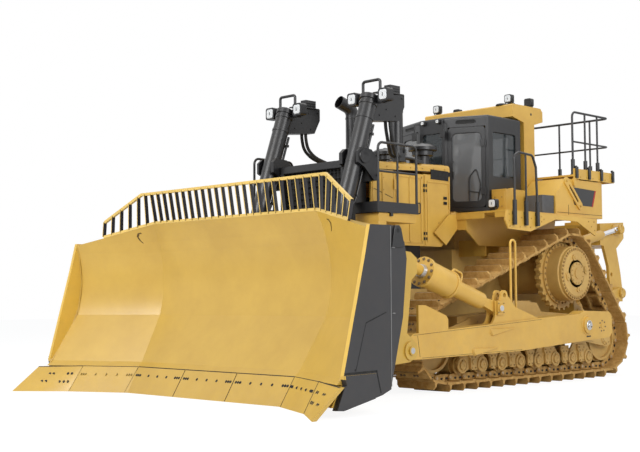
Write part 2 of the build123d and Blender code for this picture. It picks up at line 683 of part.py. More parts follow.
with BuildPart() as side_panels:
    # fixed panels ahead of and behind the engine doors, up to the folded hood
    for side in SIDES.values():
        x0, x1 = mirrored(side, SIDE_X - SEAT_GAP, HOOD_HALF_WIDTH - SEAT_GAP)
        plate_yz(
            [(GUARD_REAR_Y, SIDE_LOW_Z), (SIDE_DOOR_FRONT_Y - DOOR_GAP, SIDE_LOW_Z),
             (SIDE_DOOR_FRONT_Y - DOOR_GAP, SIDE_TOP_Z), (GUARD_REAR_Y, SIDE_TOP_Z)],
            x0, x1,
        )
        plate_yz(
            [(SIDE_DOOR_REAR_Y + DOOR_GAP, SIDE_LOW_Z), (SIDE_DOOR_REAR_Y + 420, SIDE_LOW_Z),
             (HOOD_REAR_Y, CAB_FLOOR_Z - 70), (HOOD_REAR_Y, SIDE_TOP_Z),
             (SIDE_DOOR_REAR_Y + DOOR_GAP, SIDE_TOP_Z)],
            x0, x1,
        )
    # the cross wall behind the engine carries the rear panels
    block(-SIDE_X + SEAT_GAP, SIDE_X - SEAT_GAP, HOOD_REAR_Y - 60, HOOD_REAR_Y - 30,
          CAB_FLOOR_Z - 70, SIDE_TOP_Z)
    # cowl between the hood and the windscreen
    half = CAB_NOSE_HALF_WIDTH - 10
    nose_y = CAB_NOSE_Y - SEAT_GAP
    block(-half, half, HOOD_REAR_Y - 31, nose_y, DECK_LOW_Z + DECK_PLATE + SEAT_GAP, SIDE_TOP_Z)
    block(-half, half, HOOD_REAR_Y + SEAT_GAP, nose_y, SIDE_TOP_Z - 100, HOOD_REAR_Z - 20)
save(side_panels, "side_panels")

for name, side in SIDES.items():
    with BuildPart() as engine_door:
        x0, x1 = mirrored(side, SIDE_X, HOOD_HALF_WIDTH)
        block(x0, x1, SIDE_DOOR_FRONT_Y, SIDE_DOOR_REAR_Y, SIDE_LOW_Z, HOOD_FRONT_Z - HOOD_FOLD - 10)
        for z in (SIDE_LOW_Z + 170, SIDE_LOW_Z + 830):
            # hinge knuckles and leaves at the front edge
            knuckle = (side * SIDE_HINGE_X, SIDE_HINGE_Y)
            bar((*knuckle, z), (*knuckle, z + 150), HINGE_RADIUS)
            inner, outer = mirrored(side, HOOD_HALF_WIDTH - 1, SIDE_HINGE_X)
            block(inner, outer, SIDE_DOOR_FRONT_Y, SIDE_DOOR_FRONT_Y + 110, z, z + 150)
    save(engine_door, f"engine_door_{name}")

# ---------------------------------------------------------------- stacks and air intakes

with BuildPart() as exhaust_stacks:
    for side in SIDES.values():
        with BuildLine() as line:
            low = (side * STACK_X, STACK_Y, STACK_FOOT_Z)
            bend = (side * STACK_X, STACK_Y, STACK_TOP_Z - 190)
            mouth = (side * STACK_X - 40, STACK_Y - 260, STACK_TOP_Z - 90)
            FilletPolyline(low, bend, mouth, radius=150)
        with BuildSketch(Plane(origin=low, z_dir=(0, 0, 1))):
            Circle(STACK_RADIUS)
            Circle(STACK_RADIUS - 8, mode=Mode.SUBTRACT)
        sweep(path=line.line)
        with BuildSketch(Plane.XY.offset(STACK_FOOT_Z)):
            with Locations((side * STACK_X, STACK_Y)):
                Circle(STACK_RADIUS + 45)
                Circle(STACK_RADIUS - 8, mode=Mode.SUBTRACT)
        extrude(amount=30)
save(exhaust_stacks, "exhaust_stacks")

with BuildPart() as air_intakes:
    # mushroom pre-cleaners on short necks
    for side in SIDES.values():
        with BuildSketch(Plane.XZ) as section:
            with BuildLine():
                Polyline(
                    (0, STACK_FOOT_Z), (110, STACK_FOOT_Z), (110, STACK_FOOT_Z + 150),
                    (170, STACK_FOOT_Z + 170), (170, STACK_FOOT_Z + 235), (230, STACK_FOOT_Z + 250),
                    (230, STACK_FOOT_Z + 300), (150, STACK_FOOT_Z + 345), (0, STACK_FOOT_Z + 355), close=True,
                )
            make_face()
        solid = revolve(section.sketch, axis=Axis.Z, mode=Mode.PRIVATE)
        with Locations((side * INTAKE_X, INTAKE_Y, 0)):
            add(solid)
save(air_intakes, "air_intakes")

# ---------------------------------------------------------------- blade

with BuildPart() as moldboard:
    with BuildLine(mode=Mode.PRIVATE) as edge_line:
        Polyline(*BLADE_PLAN)
    top = MOLDBOARD_TOP_Z
    with BuildSketch(BLADE_SECTION) as skin:
        with BuildLine():
            face = ThreePointArc(
                (0, MOLDBOARD_LOW_Z), (face_depth(ARC_Z), ARC_Z), (face_depth(top), top)
            )
            back = ThreePointArc(
                (face_depth(MOLDBOARD_LOW_Z, MOLDBOARD_PLATE), MOLDBOARD_LOW_Z),
                (face_depth(ARC_Z, MOLDBOARD_PLATE), ARC_Z),
                (face_depth(top, MOLDBOARD_PLATE), top),
            )
            Line(face @ 0, back @ 0)
            Line(face @ 1, back @ 1)
        make_face()
        with BuildLine():
            Polyline(
                (EDGE_BACK, MOLDBOARD_LOW_Z), (EDGE_BACK + 1 / tan(radians(EDGE_ANGLE)), MOLDBOARD_LOW_Z + 1),
                (EDGE_BACK + 50, MOLDBOARD_LOW_Z + 1), (EDGE_BACK + 50 - LIP_REACH, LIP_LOW_Z),
                (EDGE_BACK - LIP_REACH, LIP_LOW_Z), close=True,
            )
        make_face()
        # the torque box along the bottom and the stiffening box along the top
        for box in (LOWER_BOX, UPPER_BOX):
            low_z, high_z, depth = box
            with BuildLine():
                Polyline(
                    (face_depth(low_z, MOLDBOARD_PLATE / 2), low_z),
                    (depth - 60, low_z), (depth, low_z + 120), (depth, high_z - 160),
                    (face_depth(high_z, MOLDBOARD_PLATE / 2), high_z), close=True,
                )
            make_face()
    sweep(skin.sketch, path=edge_line.line, transition=Transition.RIGHT)
    # upright ribs between the boxes
    rib_low = LOWER_BOX[1] - 200
    rib_high = UPPER_BOX[0] + 80
    for x in RIB_XS:
        front = [(BLADE_FACE_Y + face_depth(z) + 15, z) for z in (rib_high, 1750, 1500, 1250, rib_low)]
        plate_yz(
            [(BLADE_FACE_Y + LOWER_BOX[2] - 40, rib_low), (BLADE_FACE_Y + UPPER_BOX[2] - 40, rib_high),
             *front],
            x - RIB_THICKNESS / 2, x + RIB_THICKNESS / 2,
        )
    # the corners are cut down towards the ends, and the ends are upright
    for side in SIDES.values():
        x0, x1 = mirrored(side, BLADE_HALF_WIDTH, WING_END_X + 500)
        block(x0, x1, WING_END_Y - 800, 0, -400, 3000, mode=Mode.SUBTRACT)
        with BuildSketch(Plane.XZ) as corner:
            with BuildLine():
                Polyline(
                    (side * CROWN_BEND_X, MOLDBOARD_TOP_Z), (side * BLADE_HALF_WIDTH, WING_TOP_Z),
                    (side * (BLADE_HALF_WIDTH + 10), 3200), (side * CROWN_BEND_X, 3200), close=True,
                )
            make_face()
        extrude(corner.sketch, amount=6500, both=True, mode=Mode.SUBTRACT)
    # brackets for the push arms, the braces and the lift cylinders' eyes
    for side in SIDES.values():
        for edge in (-1, 1):
            faces = (ARM_X + edge * BRACKET_INNER, ARM_X + edge * (BRACKET_INNER + BRACKET_PLATE))
            x0, x1 = mirrored(side, *faces)
            root_y = wing_y(ARM_X + BRACKET_INNER + BRACKET_PLATE, LOWER_BOX[2]) - 60
            # the front edge follows the moldboard's curve, inside its plate
            front = [(wing_y(min(faces), face_depth(z)) + 12, z) for z in range(1960, 400, -180)]
            plate_yz(
                [(root_y, 420), (ARM_PIN_Y, ARM_PIN_Z - 150), (ARM_PIN_Y + 130, ARM_PIN_Z - 60),
                 (ARM_PIN_Y + 130, ARM_PIN_Z + 90), (ARM_PIN_Y - 60, ARM_PIN_Z + 230),
                 (BRACE_BALL_Y - 190, BRACE_BALL_Z - 180), (BRACE_SEAT_Y, BRACE_BALL_Z - 90),
                 (BRACE_SEAT_Y, BRACE_BALL_Z + 110), (BRACE_BALL_Y - 200, BRACE_BALL_Z + 190),
                 (root_y, 2050), *front],
                x0, x1,
            )
        x0, x1 = mirrored(side, ARM_X - BRACKET_INNER, ARM_X + BRACKET_INNER)
        block(x0, x1, BRACE_BALL_Y - 190, BRACE_SEAT_Y, BRACE_BALL_Z - 90, BRACE_BALL_Z + 110)
        boss0 = ARM_X + BRACKET_INNER + BRACKET_PLATE - 1
        drum_x(ARM_PIN_Y, ARM_PIN_Z, ARM_PIN_BOSS, *mirrored(side, boss0, boss0 + 26))
        drum_x(ARM_PIN_Y, ARM_PIN_Z, PIN_RADIUS, *mirrored(side, boss0, boss0 + 50))
        for edge in (-1, 1):
            near = LIFT_X + edge * (LIFT_EYE_HALF + RUNNING_GAP)
            x0, x1 = mirrored(side, near, near + edge * 50)
            root_y = BLADE_FACE_Y + LOWER_BOX[2] - 30
            plate_yz(
                [(root_y, LIFT_EYE_Z - 350), (LIFT_EYE_Y + 60, LIFT_EYE_Z - 110),
                 (LIFT_EYE_Y + 130, LIFT_EYE_Z), (LIFT_EYE_Y + 90, LIFT_EYE_Z + 100),
                 (LIFT_EYE_Y - 60, LIFT_EYE_Z + 140), (root_y, LIFT_EYE_Z + 100)],
                x0, x1,
            )
            boss = sorted((side * (near + edge * 50), side * (near + edge * 80)))
            drum_x(LIFT_EYE_Y, LIFT_EYE_Z, PIN_RADIUS + 20, *boss)
save(moldboard, "moldboard")

# ---------------------------------------------------------------- cutting edges and end bits

with BuildPart() as cutting_edges:
    with BuildSketch(BLADE_SECTION) as strip:
        with BuildLine():
            Polyline(
                (0, MOLDBOARD_LOW_Z), (EDGE_BACK, MOLDBOARD_LOW_Z),
                (EDGE_BACK - EDGE_REACH, 0), (-EDGE_REACH, 0), close=True,
            )
        make_face()
    sweep(strip.sketch, path=edge_line.line, transition=Transition.RIGHT)
    for side in SIDES.values():
        x0, x1 = mirrored(side, END_BIT_X, WING_END_X + 500)
        block(x0, x1, WING_END_Y - 800, 0, -400, 3000, mode=Mode.SUBTRACT)
        # end bits, which curve forward to their outer corners
        ends = []
        for x, tip_y, high_z in (
            (END_BIT_X, wing_y(END_BIT_X, -EDGE_REACH), MOLDBOARD_LOW_Z),
            (END_BIT_TIP_X, END_BIT_TIP_Y, MOLDBOARD_LOW_Z - 20),
        ):
            top_y = wing_y(x, -(MOLDBOARD_LOW_Z - high_z) / tan(radians(EDGE_ANGLE)))
            with BuildSketch(Plane.YZ.offset(side * x)) as end:
                with BuildLine():
                    Polyline(
                        (top_y, high_z), (top_y + EDGE_BACK, high_z), (tip_y + EDGE_BACK, 0), (tip_y, 0),
                        close=True,
                    )
                make_face()
            ends.append(end.sketch)
        loft(ends, ruled=True)
save(cutting_edges, "cutting_edges")

# ---------------------------------------------------------------- end plates

# outlines in Y and Z: the plate itself, its raised wear plate, and the thinner plate behind
PLATE_OUTLINE = [
    (-4256, WING_TOP_Z + 27), (-4352, 1793), (-4704, 464), (-4675, 352), (-4730, 300),
    (-4837, 80), (-4708, 70), (-4059, 209), (-3905, 268), (-3892, WING_TOP_Z + 33),
]
WEAR_OUTLINE = [
    (-4700, 462), (-4675, 354), (-4730, 302), (-4830, 84), (-4708, 76), (-4200, 180), (-4180, 470),
]
REAR_OUTLINE = [
    (-3893, WING_TOP_Z + 33), (-3893, 272), (-3671, 1107), (-3594, 1809), (-3632, 2002), (-3761, 2200),
]
WEAR_PLATE = 22

with BuildPart() as end_plates:
    for side in SIDES.values():
        outer_x = BLADE_HALF_WIDTH + END_PLATE_THICKNESS
        plate_yz(PLATE_OUTLINE, *mirrored(side, BLADE_HALF_WIDTH, outer_x))
        plate_yz(WEAR_OUTLINE, *mirrored(side, outer_x - 1, outer_x + WEAR_PLATE))
        plate_yz(REAR_OUTLINE, *mirrored(side, BLADE_HALF_WIDTH, outer_x - 15))
save(end_plates, "end_plates")

# ---------------------------------------------------------------- spill guard

GUARD_CORNER = (1967, -3833, MOLDBOARD_TOP_Z + GUARD_HEIGHT)
GUARD_END = (2620, -4042, 2517)
GUARD_FOOT_END_X = 2600
GUARD_FOOT_END = (
    GUARD_FOOT_END_X, wing_y(GUARD_FOOT_END_X, face_depth(crown_z(GUARD_FOOT_END_X)) + 20),
    crown_z(GUARD_FOOT_END_X),
)
GUARD_FOOT_BEND = (CROWN_BEND_X, BLADE_FACE_Y + face_depth(MOLDBOARD_TOP_Z) + 20, MOLDBOARD_TOP_Z)
GUARD_FOOT_LIFT = 20.8    # the foot rail's middle above the moldboard's top
GUARD_BARS = 36


def reflect(points):
    """A line over the whole blade from its points on one side, outer end first"""
    return [(-x, y, z) for x, y, z in points] + [(x, y, z) for x, y, z in reversed(points)]


with BuildPart() as spill_guard:
    foot_rail = ((GUARD_FOOT_END, GUARD_FOOT_BEND), GUARD_FOOT_LIFT)
    top_rail = ((GUARD_END, GUARD_CORNER), 0)
    for points, lift in (foot_rail, top_rail):
        route = [(x, y, z + lift) for x, y, z in reflect(points)]
        heading = Vector(*route[1]) - Vector(*route[0])
        with BuildLine(mode=Mode.PRIVATE) as rail_line:
            Polyline(*route)
        with BuildSketch(Plane(origin=route[0], x_dir=(0, 1, 0), z_dir=heading)) as bar_end:
            Rectangle(40, 40)
        sweep(bar_end.sketch, path=rail_line.line, transition=Transition.RIGHT)
    for k in range(GUARD_BARS):
        share = 2 * k / (GUARD_BARS - 1) - 1

        def along(bend, end):
            """A point on a rail, by its share of the way out from the middle"""
            middle = bend[0] / end[0]
            if abs(share) <= middle:
                return Vector(share * end[0], bend[1], bend[2])
            t = (abs(share) - middle) / (1 - middle)
            x = (bend[0] + (end[0] - bend[0]) * t) * (1 if share > 0 else -1)
            return Vector(x, bend[1] + (end[1] - bend[1]) * t, bend[2] + (end[2] - bend[2]) * t)

        foot = along(GUARD_FOOT_BEND, GUARD_FOOT_END) + Vector(0, 0, GUARD_FOOT_LIFT)
        head = along(GUARD_CORNER, GUARD_END)
        with BuildSketch(Plane(origin=foot, x_dir=(1, 0, 0), z_dir=head - foot)) as bar_end:
            Rectangle(14, 60)
        extrude(bar_end.sketch, amount=(head - foot).length)
save(spill_guard, "spill_guard")

# ---------------------------------------------------------------- push arms

LUG_EYE_Y = BRACE_PIN_Y + 120
LUG_EYE_Z = BRACE_PIN_Z + 190

for name, side in SIDES.items():
    with BuildPart() as arm:
        x0, x1 = mirrored(side, ARM_X - ARM_WIDTH / 2, ARM_X + ARM_WIDTH / 2)
        plate_yz(
            [(ARM_PIN_Y - 60, ARM_PIN_Z - 100), (ARM_PIN_Y + 60, ARM_PIN_Z - 125), (-2220, 515), (60, 550),
             (TRUNNION_Y + 10, 650), (2480, 680), (2560, 760), (2560, 1010), (2480, 1100),
             (TRUNNION_Y - 80, 1120), (1600, 1070), (570, 1024), (-2390, 860),
             (ARM_PIN_Y - 60, ARM_PIN_Z + 100), (ARM_PIN_Y - 120, ARM_PIN_Z)],
            x0, x1,
        )
        # two lug plates for the brace's lower pin, with a concave front and a lifting eye
        for near, far in ((-ARM_WIDTH / 2 + 20, -BRACE_EYE_HALF), (BRACE_EYE_HALF, ARM_WIDTH / 2 - 20)):
            x0, x1 = mirrored(side, ARM_X + near, ARM_X + far)
            with BuildSketch(Plane.YZ.offset(x0)) as lug:
                with BuildLine():
                    front = ThreePointArc(
                        (BRACE_PIN_Y - 330, 930), (BRACE_PIN_Y - 165, 985),
                        (BRACE_PIN_Y - 110, BRACE_PIN_Z - 30),
                    )
                    Polyline(
                        front @ 1, (BRACE_PIN_Y - 110, BRACE_PIN_Z + 110),
                        (BRACE_PIN_Y + 20, BRACE_PIN_Z + 115), (LUG_EYE_Y - 75, LUG_EYE_Z),
                        (LUG_EYE_Y + 75, LUG_EYE_Z), (-60, 1190), (570, 1010), (570, 960),
                        (BRACE_PIN_Y - 330, 890), front @ 0,
                    )
                make_face()
                with Locations((LUG_EYE_Y, LUG_EYE_Z)):
                    Circle(75)
                    Circle(32, mode=Mode.SUBTRACT)
            extrude(lug.sketch, amount=x1 - x0)
        # pad and pin of the brace on the outer plate
        pad0 = ARM_X + ARM_WIDTH / 2 - 21
        block(
            *mirrored(side, pad0, pad0 + 31), BRACE_PIN_Y - 80, BRACE_PIN_Y + 80,
            BRACE_PIN_Z - 95, BRACE_PIN_Z + 105,
        )
        drum_x(BRACE_PIN_Y, BRACE_PIN_Z, PIN_RADIUS, *mirrored(side, pad0, pad0 + 46))
        # stone deflector over the arm's front, and a grab hoop behind the lug
        plate_yz(
            [(-2280, 850), (-2280, 1240), (-2140, 1240), (-1690, 1090), (-1655, 1040), (-1655, 850)],
            *mirrored(side, ARM_X + ARM_WIDTH / 2 - 40, ARM_X + ARM_WIDTH / 2),
        )
        x = side * ARM_X
        hoop = [(x, -62, 980), (x, -62, ARM_HOOP_TOP_Z), (x, 62, ARM_HOOP_TOP_Z), (x, 62, 980)]
        rail(hoop, radius=18, bend=60)
        # seat on the trunnion, with its outer cap
        bore0, bore1 = mirrored(side, ARM_X - ARM_WIDTH / 2, ARM_X + ARM_WIDTH / 2 - 29)
        drum_x(TRUNNION_Y, TRUNNION_Z, TRUNNION_RADIUS + PIN_FIT, bore0, bore1, mode=Mode.SUBTRACT)
        cap0, cap1 = mirrored(side, ARM_X + ARM_WIDTH / 2, ARM_X + ARM_WIDTH / 2 + 41)
        drum_x(TRUNNION_Y, TRUNNION_Z, 130, cap0, cap1)
    save(arm, f"push_arm_{name}")

# ---------------------------------------------------------------- brace and tilt cylinder

BRACE_START = (ARM_X, BRACE_BALL_Y, BRACE_BALL_Z)
BRACE_END = (ARM_X, BRACE_PIN_Y, BRACE_PIN_Z)


def brace_line(side):
    """The brace's axis from its ball to its pin, with a function for points along it"""
    start = Vector(side * BRACE_START[0], *BRACE_START[1:])
    end = Vector(side * BRACE_END[0], *BRACE_END[1:])
    way = (end - start).normalized()
    return start, end, way


# (side, label, thick part's radius, its start and end along the axis, tube's radius)
BRACES = (
    (1, "tilt_brace", 190, 190, 800, 120),
    (-1, "tilt_cylinder", 160, 620, 1640, 62),
)
for side, label, body_radius, body_start, body_end, tube_radius in BRACES:
    start, end, way = brace_line(side)
    length = (end - start).length
    up = Vector(0, sin(BRACE_SLOPE), cos(BRACE_SLOPE))
    with BuildPart() as brace:
        # ball and its neck, held in the blade's bracket
        bar(start - way * BRACE_NECK_LENGTH, start + way * 200, BRACE_NECK_RADIUS)
        bar(start + way * 200, start + way * (length - BRACE_FORK_LENGTH), tube_radius)
        bar(start + way * body_start, start + way * body_end, body_radius)
        # flange at the front and collar at the rear of the thick part
        bar(start + way * body_start, start + way * (body_start + 55), body_radius + 22)
        bar(start + way * (body_end - 40), start + way * body_end, body_radius + 10)
        if side > 0:
            # carrying handle on the tube
            foot, tip = start + way * (body_end + 20), start + way * (body_end + 240)
            handle = [foot + up * 100, foot + up * 245, tip + up * 245, tip + up * 100]
            rail([tuple(corner) for corner in handle], radius=16, bend=50)
        x = side * ARM_X
        flat = (x - BRACE_EYE_HALF + SEAT_GAP, x + BRACE_EYE_HALF - SEAT_GAP)
        drum_x(end.Y, end.Z, 110, *flat)
        neck = start + way * (length - BRACE_FORK_LENGTH - 60)
        corners = [neck + up * 55, end + up * 85, end - up * 85, neck - up * 55]
        plate_yz([(p.Y, p.Z) for p in corners], *flat)
    save(brace, label)

# ---------------------------------------------------------------- lift cylinders

LIFT_WAY = Vector(0, -sin(radians(LIFT_LEAN)), -cos(radians(LIFT_LEAN)))
YOKE_PLATE = 45

for name, side in SIDES.items():
    pivot = Vector(side * LIFT_X, LIFT_PIVOT_Y, LIFT_PIVOT_Z)
    eye = Vector(side * LIFT_X, LIFT_EYE_Y, LIFT_EYE_Z)
    head = pivot - LIFT_WAY * LIFT_BARREL_ABOVE
    with BuildPart() as barrel:
        bar(head, pivot + LIFT_WAY * LIFT_BARREL_BELOW, LIFT_BARREL_RADIUS)
        bar(head, head + LIFT_WAY * 60, LIFT_BARREL_RADIUS + 18)
        mouth = pivot + LIFT_WAY * LIFT_BARREL_BELOW
        bar(mouth - LIFT_WAY * 90, mouth, LIFT_BARREL_RADIUS + 15)
        bar(pivot - LIFT_WAY * 110, pivot + LIFT_WAY * 110, LIFT_BARREL_RADIUS + 4)
        reach = LIFT_BARREL_RADIUS + YOKE_PLATE
        drum_x(LIFT_PIVOT_Y, LIFT_PIVOT_Z, PIN_RADIUS, *mirrored(side, LIFT_X - reach, LIFT_X + reach))
        # guard hoop, lamps on their crossbar and the hose box behind the head
        x = side * LIFT_X
        half = HEAD_HOOP_WIDTH / 2
        hoop_y = head.Y + 40
        hoop = [
            (x - half, hoop_y, head.Z - 90), (x - half, hoop_y, head.Z + HEAD_HOOP_HEIGHT),
            (x + half, hoop_y, head.Z + HEAD_HOOP_HEIGHT), (x + half, hoop_y, head.Z - 90),
        ]
        rail(hoop, radius=22, bend=40)
        block(x - HEAD_LAMP_X, x + HEAD_LAMP_X, hoop_y - 25, hoop_y + 25, head.Z - 110, head.Z - 60)
        for edge in (-1, 1):
            square_lamp(
                x + edge * HEAD_LAMP_X, hoop_y - 100, head.Z - 10, -1, size=HEAD_LAMP_SIZE, depth=125
            )
        plate_yz(
            [(head.Y + 94, head.Z + 30), (-1200, head.Z + 90), (-1200, 4180), (-1320, 3960),
             (head.Y - 41, 3900)],
            x - HOSE_BOX_WIDTH / 2, x + HOSE_BOX_WIDTH / 2,
        )
        block(x - 60, x + 60, -1480, -1260, head.Z + 60, head.Z + 220)
        bar(
            head + LIFT_WAY * 60, pivot + LIFT_WAY * (LIFT_BARREL_BELOW + 5), LIFT_ROD_RADIUS + PIN_FIT,
            mode=Mode.SUBTRACT,
        )
    save(barrel, f"lift_cylinder_{name}")

    with BuildPart() as rod:
        bar(eye - LIFT_WAY * LIFT_ROD_LENGTH, eye - LIFT_WAY * 60, LIFT_ROD_RADIUS)
        drum_x(
            LIFT_EYE_Y, LIFT_EYE_Z, 118, *mirrored(side, LIFT_X - LIFT_EYE_HALF, LIFT_X + LIFT_EYE_HALF)
        )
    save(rod, f"lift_rod_{name}")

with BuildPart() as cylinder_yokes:
    for side in SIDES.values():
        for edge in (-1, 1):
            near = LIFT_X + edge * (LIFT_BARREL_RADIUS + 4 + RUNNING_GAP)
            outer_face = near + YOKE_PLATE if edge > 0 else GUARD_HALF_WIDTH
            x0, x1 = mirrored(side, near, outer_face)
            plate_yz(
                [(LIFT_PIVOT_Y - 130, LIFT_PIVOT_Z - 90), (LIFT_PIVOT_Y - 130, LIFT_PIVOT_Z + 70),
                 (LIFT_PIVOT_Y - 60, LIFT_PIVOT_Z + 130), (LIFT_PIVOT_Y + 150, LIFT_PIVOT_Z + 110),
                 (LIFT_PIVOT_Y + 300, LIFT_PIVOT_Z - 20), (LIFT_PIVOT_Y + 300, LIFT_PIVOT_Z - 330),
                 (LIFT_PIVOT_Y + 200, LIFT_PIVOT_Z - 330), (LIFT_PIVOT_Y, LIFT_PIVOT_Z - 150)],
                x0, x1,
            )
        x0, x1 = mirrored(side, GUARD_HALF_WIDTH, LIFT_X + LIFT_BARREL_RADIUS + RUNNING_GAP + YOKE_PLATE)
        block(x0, x1, LIFT_PIVOT_Y + 230, LIFT_PIVOT_Y + 300, LIFT_PIVOT_Z - 330, LIFT_PIVOT_Z - 20)
        x0, x1 = mirrored(side, GUARD_HALF_WIDTH + 20, LIFT_X + LIFT_BARREL_RADIUS + YOKE_PLATE + 1)
        drum_x(LIFT_PIVOT_Y, LIFT_PIVOT_Z, PIN_RADIUS + PIN_FIT, x0, x1, mode=Mode.SUBTRACT)
save(cylinder_yokes, "cylinder_yokes")

# ---------------------------------------------------------------- cab

CAB_PLAN = [
    (-CAB_NOSE_HALF_WIDTH, CAB_NOSE_Y), (CAB_NOSE_HALF_WIDTH, CAB_NOSE_Y), (CAB_HALF_WIDTH, CAB_SIDE_Y),
    (CAB_HALF_WIDTH, CAB_REAR_Y), (-CAB_HALF_WIDTH, CAB_REAR_Y), (-CAB_HALF_WIDTH, CAB_SIDE_Y),
]
DOOR_ANGLE = degrees(atan2(CAB_SIDE_Y - CAB_NOSE_Y, CAB_HALF_WIDTH - CAB_NOSE_HALF_WIDTH))
DOOR_FACE = hypot(CAB_SIDE_Y - CAB_NOSE_Y, CAB_HALF_WIDTH - CAB_NOSE_HALF_WIDTH)
POST_WIDTH = 50           # cab posts beside the doors
DOOR_WIDTH = DOOR_FACE - 2 * POST_WIDTH - 2 * RUNNING_GAP


def door_plane(side):
    """A slanted door's plane from its hinged rear end, on the floor; outward is -side along its Z"""
    corner = (side * CAB_HALF_WIDTH, CAB_SIDE_Y, CAB_FLOOR_Z)
    along = Vector(-side * cos(radians(DOOR_ANGLE)), -sin(radians(DOOR_ANGLE)), 0)
    return Plane(origin=corner, x_dir=along, z_dir=along.cross(Vector(0, 0, 1)))


def in_face(plane, x0, x1, z0, z1, d0, d1, radius=0, mode=Mode.ADD):
    """A panel in an upright plane: its extent along the plane, in height and in depth"""
    with BuildSketch(plane.offset(d0)) as panel:
        with Locations(((x0 + x1) / 2, (z0 + z1) / 2)):
            if radius:
                RectangleRounded(x1 - x0, z1 - z0, radius)
            else:
                Rectangle(x1 - x0, z1 - z0)
    extrude(panel.sketch, amount=d1 - d0, mode=mode)


CAB_HEIGHT = CAB_ROOF_Z - ROOF_DEPTH - CAB_FLOOR_Z
FRONT_PLANE = Plane(origin=(0, CAB_NOSE_Y, CAB_FLOOR_Z), x_dir=(1, 0, 0), z_dir=(0, -1, 0))
REAR_PLANE = Plane(origin=(0, CAB_REAR_Y, CAB_FLOOR_Z), x_dir=(-1, 0, 0), z_dir=(0, 1, 0))


def side_plane(side):
    return Plane(origin=(side * CAB_HALF_WIDTH, 0, CAB_FLOOR_Z), x_dir=(0, side, 0), z_dir=(side, 0, 0))


# windows as (plane, low_x, high_x, low_z, high_z) in their planes
WINDOWS = [
    (FRONT_PLANE, -CAB_NOSE_HALF_WIDTH + 55, CAB_NOSE_HALF_WIDTH - 55, 330, CAB_HEIGHT - 70),
    (REAR_PLANE, -CAB_HALF_WIDTH + 220, CAB_HALF_WIDTH - 220, 560, CAB_HEIGHT - 90),
    (side_plane(1), CAB_SIDE_Y + 110, CAB_REAR_Y - 130, 560, CAB_HEIGHT - 90),
    (side_plane(-1), -CAB_REAR_Y + 130, -CAB_SIDE_Y - 110, 560, CAB_HEIGHT - 90),
]

with BuildPart() as cab_shell:
    plate_xy(CAB_PLAN, CAB_FLOOR_Z, CAB_FLOOR_Z + CAB_HEIGHT)
    with BuildSketch(Plane.XY.offset(CAB_FLOOR_Z + CAB_SILL)) as room:
        with BuildLine():
            Polyline(*CAB_PLAN, close=True)
        make_face()
        offset(amount=-CAB_WALL, kind=Kind.INTERSECTION, mode=Mode.REPLACE)
    extrude(room.sketch, amount=CAB_HEIGHT, mode=Mode.SUBTRACT)
    for plane, x0, x1, z0, z1 in WINDOWS:
        in_face(plane, x0, x1, z0, z1, -CAB_WALL - 20, 20, radius=50, mode=Mode.SUBTRACT)
    for side in SIDES.values():
        plane = door_plane(side)
        depths = sorted((side * (CAB_WALL + 60), -side * 20))
        span = (POST_WIDTH, DOOR_FACE - POST_WIDTH)
        in_face(plane, *span, CAB_SILL, CAB_HEIGHT + 1, *depths, mode=Mode.SUBTRACT)
save(cab_shell, "cab_shell")

with BuildPart() as cab_roof:
    # a deep roof with rounded edges
    plate_xy(CAB_PLAN, CAB_FLOOR_Z + CAB_HEIGHT, CAB_ROOF_Z)
    fillet(cab_roof.edges().group_by(Axis.Z)[-1], 40)
save(cab_roof, "cab_roof")

with BuildPart() as cab_glass:
    for plane, x0, x1, z0, z1 in WINDOWS:
        in_face(
            plane, x0 + SEAT_GAP, x1 - SEAT_GAP, z0 + SEAT_GAP, z1 - SEAT_GAP,
            -30, -30 + GLASS_THICKNESS, radius=50,
        )
save(cab_glass, "cab_glass")

DOOR_X0 = POST_WIDTH + RUNNING_GAP
DOOR_X1 = DOOR_X0 + DOOR_WIDTH
DOOR_Z0 = CAB_SILL + RUNNING_GAP
DOOR_Z1 = CAB_HEIGHT - RUNNING_GAP
DOOR_FRAME = 60           # beside the window
DOOR_RAIL = 90            # above and below it
DOOR_HINGE_ALONG = POST_WIDTH + RUNNING_GAP / 2

for name, side in SIDES.items():
    out = -side
    with BuildPart() as door:
        plane = door_plane(side)
        d0, d1 = sorted((0, -out * CAB_WALL))
        in_face(plane, DOOR_X0, DOOR_X1, DOOR_Z0, DOOR_Z1, d0, d1, radius=60)
        in_face(
            plane, DOOR_X0 + DOOR_FRAME, DOOR_X1 - DOOR_FRAME, DOOR_Z0 + DOOR_RAIL, DOOR_Z1 - DOOR_RAIL,
            d0 - 5, d1 + 5, radius=90, mode=Mode.SUBTRACT,
        )
        # hinge barrels in front of the gap, with leaves on the door
        hinge = plane.from_local_coords((DOOR_HINGE_ALONG, 0, out * (HINGE_RADIUS + SEAT_GAP)))
        for z in (DOOR_Z0 + 200, DOOR_Z1 - 330):
            low = CAB_FLOOR_Z + z
            bar((hinge.X, hinge.Y, low), (hinge.X, hinge.Y, low + 110), HINGE_RADIUS)
            depths = sorted((-out, out * HINGE_RADIUS))
            in_face(plane, DOOR_X0 + 1, DOOR_X0 + 75, z, z + 110, *depths)
    save(door, f"cab_door_{name}")
    with BuildPart() as pane:
        g0, g1 = sorted((-out * 26, -out * (26 - GLASS_THICKNESS)))
        in_face(
            plane, DOOR_X0 + DOOR_FRAME + SEAT_GAP, DOOR_X1 - DOOR_FRAME - SEAT_GAP,
            DOOR_Z0 + DOOR_RAIL + SEAT_GAP, DOOR_Z1 - DOOR_RAIL - SEAT_GAP, g0, g1, radius=90,
        )
    save(pane, f"door_glass_{name}")

FLOOR_Z = CAB_FLOOR_Z + CAB_SILL
CUSHION_Z = FLOOR_Z + 470

